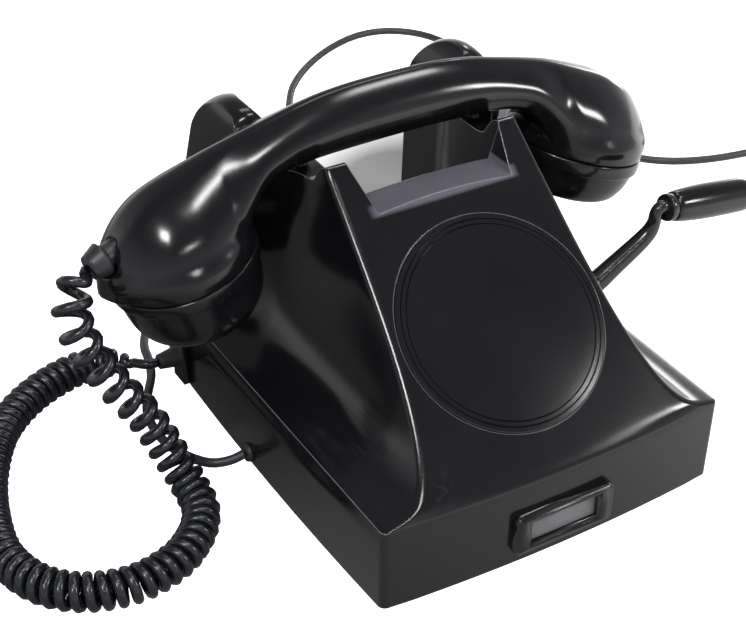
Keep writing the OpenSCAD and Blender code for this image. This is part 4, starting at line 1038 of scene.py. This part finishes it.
bent = skin("bent_rod", [rod_ring(t / 5) for t in range(5 * (len(rod_shape) - 1) + 1)])
dress(bent, rod_black, "crank_arm", "crank", 50)
hub_profile = [(4, 54.2), (5.3, 54.2), (5.7, 54.6), (5.7, 60.1), (5.3, 60.5), (0, 60.5)]
hub = turned("rod_hub", hub_profile, AXIS, (1, 0, 0), 64)
dress(hub, rod_black, "crank_arm", "crank")
collar_profile = [(0, -3.4), (5, -3.4), (5.5, -3.1), (5.65, -2.5), (5.65, -0.7), (5.35, -0.2), (0, -0.2)]
collar = turned("rod_collar", collar_profile, KNOB_FOOT, KNOB_AXIS, 96)
dress(collar, rod_black, "crank_arm", "crank")
grip = rounded_line([(5.84, 0.5), (6.28, 2.1), (6.9, 8.4), (7.3, 18.8), (7.19, 33.4), (6.94, 38.5),
                     (6.35, 40.5), (5.26, 41.8)], 5)
knob_profile = [(2.4, 0.1), (5.4, 0.1)] + grip + [(3.5, 41.8), (3.5, 36.85), (2.4, 36.85)]
knob = turned("knob_turned", knob_profile, KNOB_FOOT, KNOB_AXIS, 96, closed=True)
dress(knob, knob_black, "crank_knob", "knob")
print("crank of", len(bent.data.polygons), "faces, knob of", len(knob.data.polygons))

# %% [markdown]
# ## Copies of solids
# The small pieces already have their right shape as solids. Each is copied, its loose triangles are
# merged, and its curved faces are shaded smoothly up to an edge angle, so that they can carry gloss.

# %% Smooth copies of solids
def smooth_copy(node, body, material):
    """A copy of a solid with its triangles joined, dressed in its place."""
    pick(bpy.data.objects[node])
    bpy.ops.object.duplicate()
    thing = bpy.context.object
    thing.name = node + "_skin"
    edit_all(thing, lambda: bpy.ops.mesh.remove_doubles(threshold=0.00002))
    dress(thing, material, node, body)


for node, body, material, slot in [
        ("label_frame", "base", knob_black, "bakelite"),
        ("handset_grommet", "handset", rubber_grey, "rubber"), ("cord_boot", "base", rubber_black, "rubber"),
        ("line_gland", "base", rubber_black, "rubber"), ("rubber_feet", "base", rubber_black, "rubber"),
        ("line_plug", "base", knob_black, "bakelite"), ("plug_pins", "base", brass, "brass"),
        ("gongs", "base", brass, "brass"), ("crank_bush", "base", brass, "brass"),
        ("armature_core", "armature", winding, "winding"), ("ringer_coils", "base", winding, "winding"),
        ("cradle_plungers", "plungers", knob_black, "bakelite")]:
    smooth_copy(node, body, material)
print("smooth copies made")

# %% Finishes of the remaining solids
by_node = {
    steel: "base_plate case_screws cover_ring crank_shaft knob_pin magneto_frame armature_pinion gong_posts "
           "clapper capacitor transmitter_capsule receiver_capsule",
    iron: "magneto_magnets",
    brass: "drive_gear hook_contacts terminal_screws",
    board: "terminal_board induction_coil",
    card: "label_card"}
for material, nodes in by_node.items():
    for node in nodes.split():
        for place in bpy.data.objects[node].material_slots:
            place.material = material
clear = Finish("clear_window", Roughness=0.12, IOR=1.15, Base_Color=(0.5, 0.5, 0.52, 1))
veil = clear.noise(70, 4)
clear.feed(Alpha=0.12 + veil * 0.16)
for place in bpy.data.objects["label_window"].material_slots:
    place.material = clear.material
for flex, material in ((handset_flex, flex_black), (line_flex, line_black)):
    flex.data.materials.append(material)
print("all nodes have their finish")

# %% The end
print("end of the scene")
